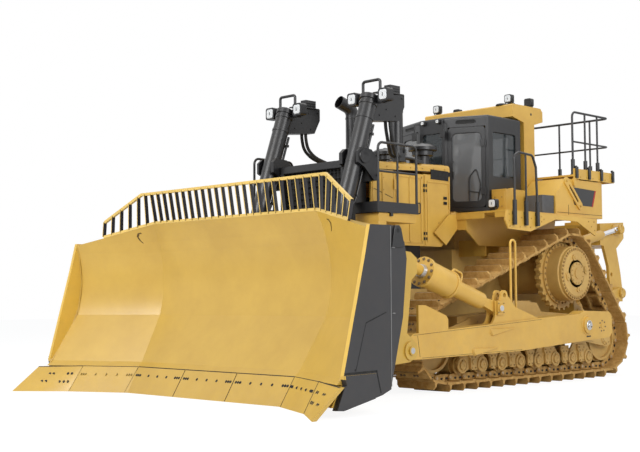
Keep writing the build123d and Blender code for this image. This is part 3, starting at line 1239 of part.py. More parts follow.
with BuildPart() as operator_seat:
    block(-180, 180, 1210, 1520, FLOOR_Z, FLOOR_Z + 330)
    block(-280, 280, 1130, 1600, FLOOR_Z + 330, CUSHION_Z)
    plate_yz(
        [(1530, CUSHION_Z), (1640, CUSHION_Z), (1690, CUSHION_Z + 660), (1580, CUSHION_Z + 660)], -260, 260
    )
    for side in SIDES.values():
        block(*mirrored(side, 279, 385), 1180, 1560, CUSHION_Z - 90, CUSHION_Z + 150)
save(operator_seat, "operator_seat")

with BuildPart() as dash_console:
    plate_yz(
        [(CAB_NOSE_Y + 60, FLOOR_Z), (CAB_NOSE_Y + 60, FLOOR_Z + 620), (CAB_NOSE_Y + 150, FLOOR_Z + 700),
         (CAB_NOSE_Y + 260, FLOOR_Z + 560), (CAB_NOSE_Y + 180, FLOOR_Z)],
        -170, 170,
    )
save(dash_console, "dash_console")

# ---------------------------------------------------------------- rollover frame

with BuildPart() as rops:
    # a deep beam across, with a chamfered underside, on two posts
    top = ROPS_TOP_Z
    plate_yz(
        [(ROPS_FRONT_Y, top - 215), (ROPS_FRONT_Y, top - 20), (ROPS_FRONT_Y + 20, top),
         (ROPS_REAR_Y - 60, top), (ROPS_REAR_Y, top - 60), (ROPS_REAR_Y, top - 230),
         (ROPS_POST_REAR_Y, top - 300), (ROPS_POST_FRONT_Y + 40, top - 300)],
        -ROPS_HALF_WIDTH,
        ROPS_HALF_WIDTH,
    )
    for side in SIDES.values():
        x0, x1 = mirrored(side, ROPS_HALF_WIDTH - ROPS_POST_WIDTH, ROPS_HALF_WIDTH)
        block(x0, x1, ROPS_POST_FRONT_Y, ROPS_POST_REAR_Y, CASE_TOP_Z, top - 100)
        # gusset between post and beam
        with BuildSketch(Plane.XZ.offset(-ROPS_POST_FRONT_Y - 20)) as gusset:
            with BuildLine():
                x = side * (ROPS_HALF_WIDTH - ROPS_POST_WIDTH + 10)
                Polyline((x, top - 700), (x, top - 290), (x - side * 190, top - 290), close=True)
            make_face()
        extrude(gusset.sketch, amount=-(ROPS_POST_REAR_Y - ROPS_POST_FRONT_Y - 40))
save(rops, "rops")

# ---------------------------------------------------------------- fenders and deck

SKIRT_X = FENDER_OUTER_X - 25
FENDER_WEB_X = 1000
# the skirt's outline in Y and Z, up over the track and down to its rear corner
SKIRT_OUTLINE = [
    (144, 2666), (99, 2513), (179, 2378), (759, 2357), (1445, 2573), (2064, 2565), (2603, 2348), (2640, 2420),
    (FENDER_REAR_Y, 2630),
]

for name, side in SIDES.items():
    with BuildPart() as fender:
        plate_yz(SKIRT_OUTLINE, *mirrored(side, SKIRT_X, FENDER_OUTER_X))
        # deck with the cut-out beside the hood
        plate_xy(
            [(side * DECK_INNER_X, DECK_FRONT_Y), (side * SKIRT_X, 150), (side * SKIRT_X, FENDER_REAR_Y),
             (side * FENDER_WEB_X, FENDER_REAR_Y), (side * FENDER_WEB_X, 800), (side * DECK_INNER_X, 730)],
            DECK_LOW_Z, DECK_LOW_Z + DECK_PLATE,
        )
        # inner web between deck and case, and the slanted cheek in front
        web_top = DECK_LOW_Z + 1
        plate_yz(
            [(DECK_FRONT_Y, web_top), (DECK_FRONT_Y, 2400), (520, 2160), (FENDER_REAR_Y - 100, 2160),
             (FENDER_REAR_Y, web_top)],
            *mirrored(side, FENDER_WEB_X, FENDER_WEB_X + 25),
        )
        # brackets from the case up to the deck
        for y in (700, 1300, 2350):
            span = mirrored(side, FRAME_HALF_WIDTH, FENDER_WEB_X + 1)
            block(*span, y, y + 40, CASE_TOP_Z - 120, CASE_TOP_Z + 140)
        plate_yz(
            [(-360, 2340), (8, web_top), (440, web_top), (-83, 2156)],
            *mirrored(side, DECK_INNER_X, DECK_INNER_X + 25),
        )
        span = mirrored(side, DECK_INNER_X, FENDER_WEB_X + 1)
        block(*span, DECK_FRONT_Y, DECK_FRONT_Y + 25, 2400, web_top)
    save(fender, f"fender_{name}")

# ---------------------------------------------------------------- tanks and rear platform

TANK_FRONT_Y = 1760
TANK_REAR_Y = 3200
TANK_Z0 = DECK_LOW_Z + DECK_PLATE
STEP_BOX_FRONT_Y = 950    # the box beside the cab, ahead of the tank

for name, side in SIDES.items():
    with BuildPart() as tank:
        plate_yz(
            [(TANK_FRONT_Y, TANK_Z0), (TANK_REAR_Y, TANK_Z0), (TANK_REAR_Y, TANK_TOP_Z),
             (TANK_FRONT_Y + 300, TANK_TOP_Z), (TANK_FRONT_Y, TANK_TOP_Z - 290)],
            *mirrored(side, TANK_INNER_X, TANK_OUTER_X),
        )
        fillet(tank.edges().filter_by(Axis.Z).group_by(Axis.Y)[-1], 50)
        block(
            *mirrored(side, TANK_INNER_X, TANK_INNER_X + 275), STEP_BOX_FRONT_Y, TANK_FRONT_Y + 1,
            TANK_Z0, TANK_Z0 + 410,
        )
    save(tank, f"rear_tank_{name}")

SKIRT_LOW_Z = PLATFORM_Z - 40
SKIRT_HIGH_Z = PLATFORM_Z + 130
PLATFORM_X = TANK_OUTER_X + 40

with BuildPart() as rear_platform:
    # floor over both tanks, its raised skirts and the bearers on the tanks
    block(
        -PLATFORM_X, PLATFORM_X, PLATFORM_FRONT_Y, PLATFORM_REAR_Y, PLATFORM_Z, PLATFORM_Z + PLATFORM_PLATE
    )
    block(-PLATFORM_X, PLATFORM_X, PLATFORM_REAR_Y - 20, PLATFORM_REAR_Y, SKIRT_LOW_Z, SKIRT_HIGH_Z)
    for side in SIDES.values():
        block(
            *mirrored(side, PLATFORM_X - 20, PLATFORM_X), PLATFORM_FRONT_Y, PLATFORM_REAR_Y,
            SKIRT_LOW_Z, SKIRT_HIGH_Z,
        )
        for y in (2400, 3050):
            block(*mirrored(side, TANK_INNER_X, TANK_OUTER_X), y, y + 60, TANK_TOP_Z, PLATFORM_Z + 1)
        # slotted stay from the platform's edge down beside the tank
        with BuildSketch(Plane.YZ.offset(side * TANK_OUTER_X)) as stay:
            with Locations(Location((2262, 3052), -45)):
                SlotOverall(680, 130)
                SlotOverall(380, 44, mode=Mode.SUBTRACT)
        extrude(stay.sketch, amount=side * 25)
        block(
            *mirrored(side, TANK_OUTER_X, PLATFORM_X), PLATFORM_FRONT_Y, PLATFORM_FRONT_Y + 70,
            SKIRT_LOW_Z - 120, SKIRT_LOW_Z + 1,
        )
save(rear_platform, "rear_platform")

# ---------------------------------------------------------------- rails


SOCKET = 34
with BuildPart() as deck_rails:
    for side in SIDES.values():
        x = side * (FENDER_OUTER_X + SOCKET + SEAT_GAP)
        top = 3560
        rail([
            (x, 300, 2600), (x, 300, top - 60), (x, 420, top), (x, 780, top - 20), (x, 870, top - 200),
            (x, 900, 2600),
        ])
        bar((x, 600, 2600), (x, 600, top - 8), 16)
        for y in (300, 600, 900):
            bar((x, y, 2440), (x, y, 2820), SOCKET)
            block(*mirrored(side, FENDER_OUTER_X, FENDER_OUTER_X + SOCKET), y - 25, y + 25, 2600, 2650)
save(deck_rails, "deck_rails")

with BuildPart() as rear_rails:
    foot = PLATFORM_Z + PLATFORM_PLATE
    top = foot + 1060
    mid = foot + 560
    x = TANK_OUTER_X - 20
    front_y, back_y = PLATFORM_FRONT_Y + 60, PLATFORM_REAR_Y - 60
    rail([
        (x, front_y, foot), (x, front_y, top), (x, back_y, top), (-x, back_y, top), (-x, front_y, top),
        (-x, front_y, foot),
    ])
    rail([(x, front_y, mid), (x, back_y, mid), (-x, back_y, mid), (-x, front_y, mid)], radius=15)
    posts = [(side * x, y) for side in SIDES.values() for y in (2700, 3080)]
    posts += [(post_x, back_y) for post_x in (-1250, -620, 0, 620, 1250)]
    for post_x, post_y in posts:
        bar((post_x, post_y, foot), (post_x, post_y, top), 17)
    for post_x, post_y in posts + [(x, front_y), (-x, front_y)]:
        bar((post_x, post_y, foot), (post_x, post_y, foot + 260), SOCKET)
save(rear_rails, "rear_rails")

# ---------------------------------------------------------------- front step platforms

STEP_REAR_Y = SIDE_HINGE_Y - HINGE_RADIUS - 40

STEP_FRONT_Y = GUARD_FRONT_Y
STEP_TOP_Z = 2630
STEP_OUTER_X = 1330
STEP_RAIL_Z = 3540

with BuildPart() as front_platforms:
    for side in SIDES.values():
        x0, x1 = mirrored(side, HOOD_HALF_WIDTH + 30, STEP_OUTER_X)
        block(x0, x1, STEP_FRONT_Y, STEP_REAR_Y, STEP_TOP_Z - 40, STEP_TOP_Z)
        # toe boards at the outer edge and at the front
        edge_x = mirrored(side, STEP_OUTER_X - 25, STEP_OUTER_X)
        block(*edge_x, STEP_FRONT_Y, STEP_REAR_Y, STEP_TOP_Z - 80, STEP_TOP_Z + 70)
        block(x0, x1, STEP_FRONT_Y, STEP_FRONT_Y + 20, STEP_TOP_Z - 80, STEP_TOP_Z + 70)
        block(x0, x1, -1900, -1850, STEP_TOP_Z - 130, STEP_TOP_Z - 39)
        # struts back to the radiator guard
        for y in (-2100, -1900):
            strut_x = mirrored(side, GUARD_HALF_WIDTH, HOOD_HALF_WIDTH + 31)
            block(*strut_x, y, y + 50, STEP_TOP_Z - 190, STEP_TOP_Z)
        x = side * (STEP_OUTER_X - 12)
        front_y, back_y = STEP_FRONT_Y + 30, STEP_REAR_Y - 30
        foot = STEP_TOP_Z + 60
        rail([(x, front_y, foot), (x, front_y, STEP_RAIL_Z), (x, back_y, STEP_RAIL_Z), (x, back_y, foot)])
        bar((x, front_y, 3130), (x, back_y, 3130), 16)
        bar((x, -1740, foot), (x, -1740, STEP_RAIL_Z), 16)
save(front_platforms, "front_platforms")

# ---------------------------------------------------------------- ripper

RIPPER_ARM_HALF = 60
RIPPER_PLATE = 45
MOUNT_REAR_Y = FRAME_REAR_Y + 60
ARM_WAY = Vector(0, cos(radians(RIPPER_ARM_ANGLE)), sin(radians(RIPPER_ARM_ANGLE)))
ARM_UP = Vector(0, -sin(radians(RIPPER_ARM_ANGLE)), cos(radians(RIPPER_ARM_ANGLE)))
LOW_PIN = Vector(0, RIPPER_PIVOT_Y, RIPPER_PIVOT_Z)
HIGH_PIN = LOW_PIN + Vector(0, 0, RIPPER_LINK_HEIGHT)
LOW_TOOL_PIN = LOW_PIN + ARM_WAY * RIPPER_ARM_LENGTH
HIGH_TOOL_PIN = HIGH_PIN + ARM_WAY * RIPPER_ARM_LENGTH
RIPPER_LIFT_PIN = Vector(0, RIPPER_PIVOT_Y, 2050)
RIPPER_LIFT_EYE = LOW_PIN + ARM_WAY * 1080 + ARM_UP * 240
RIPPER_LIFT_HALF = 45
CROSS_TUBE = LOW_PIN + ARM_WAY * 1080


def lug_yz(pin, root_y, z0, z1, radius, x0, x1):
    """A rounded lug from an upright root face to a pin"""
    with BuildSketch(Plane.YZ.offset(x0)) as lug:
        with BuildLine():
            Polyline((root_y, z0), (root_y, z1), (pin.Y, pin.Z + radius), (pin.Y, pin.Z - radius), close=True)
        make_face()
        with Locations((pin.Y, pin.Z)):
            Circle(radius)
    extrude(lug.sketch, amount=x1 - x0)


with BuildPart() as ripper_mount:
    # cross plate behind the case, with the lugs of the lower frame and of both kinds of cylinder
    block(-980, 980, FRAME_REAR_Y, MOUNT_REAR_Y, 850, 2400)
    root = MOUNT_REAR_Y - 1
    for side in SIDES.values():
        for edge in (-1, 1):
            near = RIPPER_ARM_X + edge * (RIPPER_ARM_HALF + RUNNING_GAP)
            x0, x1 = mirrored(side, near, near + edge * RIPPER_PLATE)
            lug_yz(LOW_PIN, root, LOW_PIN.Z - 170, LOW_PIN.Z + 170, 105, x0, x1)
            lug_yz(HIGH_PIN, root, HIGH_PIN.Z - 170, HIGH_PIN.Z + 125, 95, x0, x1)
            near = RIPPER_LIFT_X + edge * (RIPPER_LIFT_HALF + RUNNING_GAP)
            x0, x1 = mirrored(side, near, near + edge * RIPPER_PLATE)
            lug_yz(RIPPER_LIFT_PIN, root, RIPPER_LIFT_PIN.Z - 150, RIPPER_LIFT_PIN.Z + 150, 85, x0, x1)
        reach = RIPPER_ARM_HALF + RUNNING_GAP + RIPPER_PLATE + 15
        pin_span = mirrored(side, RIPPER_ARM_X - reach, RIPPER_ARM_X + reach)
        drum_x(LOW_PIN.Y, LOW_PIN.Z, PIN_RADIUS, *pin_span)
        drum_x(HIGH_PIN.Y, HIGH_PIN.Z, PIN_RADIUS, *pin_span)
        reach = RIPPER_LIFT_HALF + RUNNING_GAP + RIPPER_PLATE + 15
        pin_span = mirrored(side, RIPPER_LIFT_X - reach, RIPPER_LIFT_X + reach)
        drum_x(RIPPER_LIFT_PIN.Y, RIPPER_LIFT_PIN.Z, RIPPER_LIFT_PIN_RADIUS, *pin_span)
save(ripper_mount, "ripper_mount")

with BuildPart() as ripper_frame:
    for side in SIDES.values():
        x0, x1 = mirrored(side, RIPPER_ARM_X - RIPPER_ARM_HALF, RIPPER_ARM_X + RIPPER_ARM_HALF)
        drum_x(LOW_PIN.Y, LOW_PIN.Z, 95, x0, x1)
        drum_x(LOW_TOOL_PIN.Y, LOW_TOOL_PIN.Z, 110, x0, x1)
        corners = [
            LOW_PIN + ARM_UP * 90, LOW_PIN + ARM_WAY * 500 + ARM_UP * 130, LOW_TOOL_PIN + ARM_UP * 105,
            LOW_TOOL_PIN - ARM_UP * 105, LOW_PIN + ARM_WAY * 700 - ARM_UP * 150, LOW_PIN - ARM_UP * 90,
        ]
        plate_yz([(p.Y, p.Z) for p in corners], x0, x1)
        for pin in (LOW_PIN, LOW_TOOL_PIN):
            drum_x(pin.Y, pin.Z, PIN_RADIUS + PIN_FIT, x0 - 1, x1 + 1, mode=Mode.SUBTRACT)
        # ears of the lift cylinder
        for edge in (-1, 1):
            near = RIPPER_LIFT_X + edge * (RIPPER_LIFT_HALF + RUNNING_GAP)
            e0, e1 = mirrored(side, near, near + edge * RIPPER_PLATE)
            with BuildSketch(Plane.YZ.offset(e0)) as ear:
                with BuildLine():
                    a, b = CROSS_TUBE - ARM_WAY * 80, CROSS_TUBE + ARM_WAY * 80
                    c, d = RIPPER_LIFT_EYE + ARM_WAY * 60, RIPPER_LIFT_EYE - ARM_WAY * 60
                    Polyline((a.Y, a.Z), (b.Y, b.Z), (c.Y, c.Z), (d.Y, d.Z), close=True)
                make_face()
                with Locations((RIPPER_LIFT_EYE.Y, RIPPER_LIFT_EYE.Z)):
                    Circle(80)
            extrude(ear.sketch, amount=e1 - e0)
    drum_x(CROSS_TUBE.Y, CROSS_TUBE.Z, CROSS_TUBE_RADIUS, -RIPPER_ARM_X, RIPPER_ARM_X)
save(ripper_frame, "ripper_frame")

BEAM_HALF = RIPPER_ARM_X - RIPPER_ARM_HALF - RUNNING_GAP
POCKET = (4785, 5195)

with BuildPart() as ripper_beam:
    plate_yz(
        [(BEAM_FRONT_Y, 2290), (BEAM_FRONT_Y, 2690), (BEAM_REAR_Y, 2740), (BEAM_REAR_Y, 2440), (5020, 2250)],
        -BEAM_HALF, BEAM_HALF,
    )
    # reliefs for the lift rods, which come close when the ripper is down
    for side in SIDES.values():
        relief = RIPPER_LIFT_HALF + RUNNING_GAP + RIPPER_PLATE + 25
        plate_yz(
            [(BEAM_FRONT_Y - 10, 2680), (BEAM_FRONT_Y + 260, 2230), (BEAM_FRONT_Y - 10, 2200)],
            *mirrored(side, RIPPER_LIFT_X - relief, RIPPER_LIFT_X + relief), mode=Mode.SUBTRACT,
        )
    for side in SIDES.values():
        # side plates down to the lower frame's pins, with a lightening hole
        x0, x1 = mirrored(side, BEAM_HALF - 60, BEAM_HALF)
        plate_yz(
            [(4560, 2295), (4725, 1900), (4745, 1650), (4810, 1330), (4880, 1250), (5190, 1250), (5200, 1420),
             (5130, 1790), (4990, 2290)],
            x0, x1,
        )
        drum_x(4815, 1754, 38, x0, x1, mode=Mode.SUBTRACT)
        arm_face = RIPPER_ARM_X + RIPPER_ARM_HALF
        for pin in (LOW_TOOL_PIN, HIGH_TOOL_PIN):
            drum_x(pin.Y, pin.Z, PIN_RADIUS, *mirrored(side, BEAM_HALF - 10, arm_face + 30))
            drum_x(pin.Y, pin.Z, PIN_RADIUS + 30, *mirrored(side, arm_face + RUNNING_GAP, arm_face + 30))
    # push block at the rear and the shank's pocket
    block(-160, 160, 4740, BEAM_REAR_Y, 2200, 2760)
    block(-SHANK_WIDTH / 2 - 1, SHANK_WIDTH / 2 + 1, *POCKET, 2100, 2900, mode=Mode.SUBTRACT)
save(ripper_beam, "ripper_beam")

with BuildPart() as ripper_shank:
    front, rear = POCKET[0] + SEAT_GAP, POCKET[1] - SEAT_GAP
    plate_yz(
        [(front, 3020), (rear, 3020), (rear, 1550), (rear - 40, 1250), (5030, 960), (4860, 800), (4730, 735),
         (4690, 760), (4760, 930), (4800, 1150), (front, 1500)],
        -SHANK_WIDTH / 2, SHANK_WIDTH / 2,
    )
    # replaceable tip and shin guard
    plate_yz(
        [(4760, 700), (4560, 640), (4600, 700), (4745, 900), (4830, 800)],
        -SHANK_WIDTH / 2 - 20, SHANK_WIDTH / 2 + 20,
    )
    plate_yz(
        [(4740, 905), (4775, 900), (4815, 1140), (4800, 1400), (4770, 1400), (4765, 1150)],
        -SHANK_WIDTH / 2 - 12, SHANK_WIDTH / 2 + 12,
    )
    for z in (2860, 1850, 1600):
        drum_x((POCKET[0] + POCKET[1]) / 2, z, 45, -SHANK_WIDTH, SHANK_WIDTH, mode=Mode.SUBTRACT)
save(ripper_shank, "ripper_shank")

with BuildPart() as ripper_tilt_cylinders:
    for side in SIDES.values():
        offset_x = Vector(side * RIPPER_ARM_X, 0, 0)
        base = HIGH_PIN + offset_x
        tip = HIGH_TOOL_PIN + offset_x
        x0, x1 = mirrored(side, RIPPER_ARM_X - RIPPER_ARM_HALF, RIPPER_ARM_X + RIPPER_ARM_HALF)
        drum_x(base.Y, base.Z, 88, x0, x1)
        bar(base + ARM_WAY * 70, base + ARM_WAY * 180, 52)
        bar(base + ARM_WAY * 170, base + ARM_WAY * 950, RIPPER_ARM_HALF + 28)
        bar(base + ARM_WAY * 950, base + ARM_WAY * 1000, 70)
        bar(base + ARM_WAY * 1000, tip - ARM_WAY * 70, 45)
        drum_x(tip.Y, tip.Z, 95, x0, x1)
        for pin in (base, tip):
            drum_x(pin.Y, pin.Z, PIN_RADIUS + PIN_FIT, x0 - 1, x1 + 1, mode=Mode.SUBTRACT)
save(ripper_tilt_cylinders, "ripper_tilt_cylinders")

RIPPER_LIFT_LINE = RIPPER_LIFT_EYE - RIPPER_LIFT_PIN
RIPPER_LIFT_WAY = RIPPER_LIFT_LINE.normalized()

for name, side in SIDES.items():
    base = RIPPER_LIFT_PIN + Vector(side * RIPPER_LIFT_X, 0, 0)
    eye = RIPPER_LIFT_EYE + Vector(side * RIPPER_LIFT_X, 0, 0)
    x0, x1 = mirrored(side, RIPPER_LIFT_X - RIPPER_LIFT_HALF, RIPPER_LIFT_X + RIPPER_LIFT_HALF)
    with BuildPart() as barrel:
        drum_x(base.Y, base.Z, 78, x0, x1)
        bar(base + RIPPER_LIFT_WAY * 100, base + RIPPER_LIFT_WAY * RIPPER_BARREL_LENGTH, 80)
        bar(base + RIPPER_LIFT_WAY * 50, base + RIPPER_LIFT_WAY * 110, 42)
        drum_x(base.Y, base.Z, RIPPER_LIFT_PIN_RADIUS + PIN_FIT, x0 - 1, x1 + 1, mode=Mode.SUBTRACT)
        bore_end = base + RIPPER_LIFT_WAY * (RIPPER_BARREL_LENGTH + 5)
        bar(base + RIPPER_LIFT_WAY * 130, bore_end, RIPPER_ROD_RADIUS + PIN_FIT, mode=Mode.SUBTRACT)
    save(barrel, f"ripper_lift_cylinder_{name}")
    with BuildPart() as rod:
        bar(eye - RIPPER_LIFT_WAY * RIPPER_ROD_LENGTH, eye - RIPPER_LIFT_WAY * 40, RIPPER_ROD_RADIUS)
        drum_x(eye.Y, eye.Z, 72, x0, x1)
    save(rod, f"ripper_lift_rod_{name}")

# ---------------------------------------------------------------- lamps

LAMP_STALK = 40
# (x, y, foot's height, direction): front and rear of the rollover frame, and the decks' fronts
LAMPS = (
    (780, ROPS_FRONT_Y + 150, ROPS_TOP_Z, -1),
    (780, ROPS_REAR_Y - 150, ROPS_TOP_Z, 1),
    (1500, DECK_FRONT_Y + 80, DECK_LOW_Z + DECK_PLATE, -1),
)

with BuildPart() as work_lamps:
    for side in SIDES.values():
        for lamp_x, y, z, aim in LAMPS:
            x = side * lamp_x
            square_lamp(x, y + aim * 45, z + LAMP_STALK + 75, aim)
            block(x - 20, x + 20, y - 15, y + 15, z, z + LAMP_STALK + 20)
save(work_lamps, "work_lamps")
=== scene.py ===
from math import atan2, copysign, cos, exp, hypot, pi, radians, sin, sqrt, tan

import bmesh
import bpy
from mathutils import Matrix, Vector


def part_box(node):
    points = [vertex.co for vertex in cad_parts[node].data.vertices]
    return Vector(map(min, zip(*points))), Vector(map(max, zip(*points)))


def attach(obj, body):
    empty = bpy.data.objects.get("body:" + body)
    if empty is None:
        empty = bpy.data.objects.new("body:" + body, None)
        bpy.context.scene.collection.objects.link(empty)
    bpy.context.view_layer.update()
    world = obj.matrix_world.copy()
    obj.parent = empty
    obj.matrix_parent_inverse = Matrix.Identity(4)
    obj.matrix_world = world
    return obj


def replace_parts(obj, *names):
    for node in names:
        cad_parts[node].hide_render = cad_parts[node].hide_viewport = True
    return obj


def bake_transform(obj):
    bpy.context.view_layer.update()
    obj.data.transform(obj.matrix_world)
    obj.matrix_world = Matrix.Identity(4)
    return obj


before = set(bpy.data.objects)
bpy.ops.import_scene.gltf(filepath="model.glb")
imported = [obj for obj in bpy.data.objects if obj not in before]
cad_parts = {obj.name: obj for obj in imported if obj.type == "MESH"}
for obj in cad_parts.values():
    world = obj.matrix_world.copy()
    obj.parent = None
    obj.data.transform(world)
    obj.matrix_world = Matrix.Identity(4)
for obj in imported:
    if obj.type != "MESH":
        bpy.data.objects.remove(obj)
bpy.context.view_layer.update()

SIDES = {"left": 1, "right": -1}
scene = bpy.context.scene
scene.view_settings.view_transform = "Standard"

# -------------------- camera

EYE = Vector((12.195, -13.994, 1.334))
AZIMUTH, TILT_UP, ROLL = radians(44.953), radians(3.555), radians(-0.336)
forward = Vector((-sin(AZIMUTH) * cos(TILT_UP), cos(AZIMUTH) * cos(TILT_UP), sin(TILT_UP)))
level = Vector((cos(AZIMUTH), sin(AZIMUTH), 0))
above = level.cross(forward)
across = level * cos(ROLL) + above * sin(ROLL)
upright = above * cos(ROLL) - level * sin(ROLL)
camera_data = bpy.data.cameras.new("camera")
camera_data.lens = 64.51
camera_data.sensor_width = 36
camera_data.shift_x = -0.0168
camera_data.shift_y = 0.0022
camera_data.clip_end = 200
camera = bpy.data.objects.new("camera", camera_data)
camera.matrix_world = Matrix.Translation(EYE) @ Matrix((across, upright, -forward)).transposed().to_4x4()
scene.collection.objects.link(camera)
scene.camera = camera

# -------------------- light, floor and background

FLOOR_HALF, FLOOR_Z = 60, -0.002
FLOOR_GLOW, FLOOR_GLOW_SHARE = 1.12, 0.8
SKY_COLOR, SKY_STRENGTH = (0.86, 0.89, 0.93, 1), 0.52


def area_light(name, place, target, size, watts):
    data = bpy.data.lights.new(name, "AREA")
    data.shape = "RECTANGLE"
    data.size, data.size_y = size
    data.energy = watts
    lamp = bpy.data.objects.new(name, data)
    place = Vector(place)
    turn = (Vector(target) - place).to_track_quat("-Z", "Y").to_matrix().to_4x4()
    lamp.matrix_world = Matrix.Translation(place) @ turn
    scene.collection.objects.link(lamp)


def empty_tree(owner):
    """What adds a node and what adds a link to the owner's emptied tree"""
    owner.use_nodes = True
    owner.node_tree.nodes.clear()
    return owner.node_tree.nodes.new, owner.node_tree.links.new


def mixed(new, link, output, share, first, second):
    """Lead two shaders, mixed by a share, into an output"""
    mix = new("ShaderNodeMixShader")
    for socket, source in zip(mix.inputs, (share, first, second)):
        link(source, socket)
    link(mix.outputs[0], new(output).inputs[0])


area_light("key", (-1.0, -19.0, 12.0), (0.0, -1.0, 1.2), (9, 7), 2300)
area_light("side", (17.0, -4.0, 9.0), (0.5, 0.5, 1.2), (10, 7), 1500)
area_light("top", (0.0, 2.0, 16.0), (0.0, 0.0, 0.0), (12, 12), 900)

# the sky lights the machine softly, and is white where it is seen, also through glass or in a glossy face
world = bpy.data.worlds.new("studio")
scene.world = world
new, link = empty_tree(world)
sky = new("ShaderNodeBackground")
sky.inputs["Color"].default_value = SKY_COLOR
sky.inputs["Strength"].default_value = SKY_STRENGTH
white = new("ShaderNodeBackground")
white.inputs["Color"].default_value = (1, 1, 1, 1)
rays = new("ShaderNodeLightPath")
seen = rays.outputs["Is Camera Ray"]
for kind in ("Is Transmission Ray", "Is Glossy Ray"):
    either = new("ShaderNodeMath")
    either.operation = "MAXIMUM"
    link(seen, either.inputs[0])
    link(rays.outputs[kind], either.inputs[1])
    seen = either.outputs[0]
mixed(new, link, "ShaderNodeOutputWorld", seen, sky.outputs[0], white.outputs[0])

floor_mesh = bpy.data.meshes.new("floor")
corners = [(x * FLOOR_HALF, y * FLOOR_HALF, FLOOR_Z) for x, y in ((-1, -1), (1, -1), (1, 1), (-1, 1))]
floor_mesh.from_pydata(corners, [], [(0, 1, 2, 3)])
floor = bpy.data.objects.new("floor", floor_mesh)
scene.collection.objects.link(floor)
pale = bpy.data.materials.new("pale_floor")
new, link = empty_tree(pale)
mat = new("ShaderNodeBsdfDiffuse")
mat.inputs["Color"].default_value = (0.86, 0.86, 0.85, 1)
glow = new("ShaderNodeEmission")
glow.inputs["Strength"].default_value = FLOOR_GLOW
share = new("ShaderNodeMath")
share.operation = "MULTIPLY"
share.inputs[1].default_value = FLOOR_GLOW_SHARE
link(new("ShaderNodeLightPath").outputs["Is Camera Ray"], share.inputs[0])
mixed(new, link, "ShaderNodeOutputMaterial", share.outputs[0], mat.outputs[0], glow.outputs[0])
floor_mesh.materials.append(pale)

# -------------------- materials

DUST = (0.47, 0.31, 0.12)
WEAR_BLOCK_TOP = 0.42


class Shader:
    """A node material built step by step"""

    def __init__(self, name):
        self.material = bpy.data.materials.new(name)
        self.material.use_nodes = True
        self.tree = self.material.node_tree
        self.shader = self.tree.nodes["Principled BSDF"]
        self.place = self.new("TexCoord").outputs["Object"]

    def new(self, kind, **inputs):
        """A node with its inputs fed"""
        node = self.tree.nodes.new("ShaderNode" + kind)
        for name, value in inputs.items():
            self.feed(node.inputs[name], value)
        return node

    def feed(self, socket, value):
        """Give a socket a colour or vector, a number, or what another socket gives"""
        if isinstance(value, tuple):
            socket.default_value = (*value, 1)[:len(socket.default_value)]
        elif isinstance(value, (int, float)):
            socket.default_value = value
        else:
            self.tree.links.new(value, socket)

    def noise(self, scale, detail=4, rough=0.6, stretch=None):
        source = self.place
        if stretch:
            source = self.new("Mapping", Vector=source, Scale=stretch).outputs[0]
        return self.new("TexNoise", Vector=source, Scale=scale, Detail=detail, Roughness=rough).outputs["Fac"]

    def ramp(self, source, *stops):
        """A grey from two stops, each a place and a value"""
        node = self.new("ValToRGB", Fac=source)
        for element, (place, value) in zip(node.color_ramp.elements, stops):
            element.position = place
            element.color = (value, value, value, 1)
        return node.outputs["Color"]

    def cloud(self):
        return self.ramp(self.noise(1.3, 5, 0.65), (0.35, 0.0), (0.72, 1.0))

    def mix(self, fac, a, b):
        node = self.new("Mix")
        node.data_type = "RGBA"
        for socket, value in zip((node.inputs["Factor"], node.inputs[6], node.inputs[7]), (fac, a, b)):
            self.feed(socket, value)
        return node.outputs[2]

    def math(self, kind, a, b=0, clamp=False):
        node = self.new("Math")
        node.operation = kind
        node.use_clamp = clamp
        self.feed(node.inputs[0], a)
        self.feed(node.inputs[1], b)
        return node.outputs[0]

    def parts(self, source):
        return self.new("SeparateXYZ", Vector=source).outputs

    def height(self, low, high):
        """1 below the low height, 0 above the high one"""
        span = {"From Min": low, "From Max": high, "To Min": 1, "To Max": 0}
        return self.new("MapRange", Value=self.parts(self.place)["Z"], **span).outputs[0]

    def normal(self):
        return self.new("TexCoord").outputs["Normal"]

    def bump(self, source, strength, distance):
        bump = self.new("Bump", Strength=strength, Distance=distance, Height=source)
        self.feed(self.shader.inputs["Normal"], bump.outputs[0])

    def set(self, **values):
        for name, value in values.items():
            self.feed(self.shader.inputs[name.replace("_", " ")], value)


def paint(name, color, dark, rough, dust_low, dust_high, dust):
    """Sprayed, slightly cloudy paint, with dust that thickens downwards and on upward faces"""
    s = Shader(name)
    base = s.mix(s.cloud(), dark, color)
    patch = s.ramp(s.noise(5.5, 7, 0.7), (0.38, 0.0), (0.66, 1.0))
    flat = s.math("MULTIPLY", s.math("MAXIMUM", s.parts(s.normal())["Z"]), 0.35)
    settled = s.math("ADD", s.height(dust_low, dust_high), flat)
    amount = s.math("MULTIPLY", settled, s.math("MULTIPLY", patch, dust), clamp=True)
    base = s.mix(amount, base, DUST)
    streak = s.ramp(s.noise(7.0, 4, 0.6, (1, 1, 0.12)), (0.55, 0.0), (0.85, 0.22))
    s.set(Base_Color=s.mix(streak, base, dark), Metallic=0.0, Coat_Weight=0.12, Coat_Roughness=0.25)
    s.set(Roughness=s.ramp(amount, (0.0, rough), (0.8, min(0.95, rough + 0.35))))
    s.bump(s.math("ADD", s.noise(135, 3), s.math("MULTIPLY", amount, 0.6)), 0.06, 0.004)
    return s.material


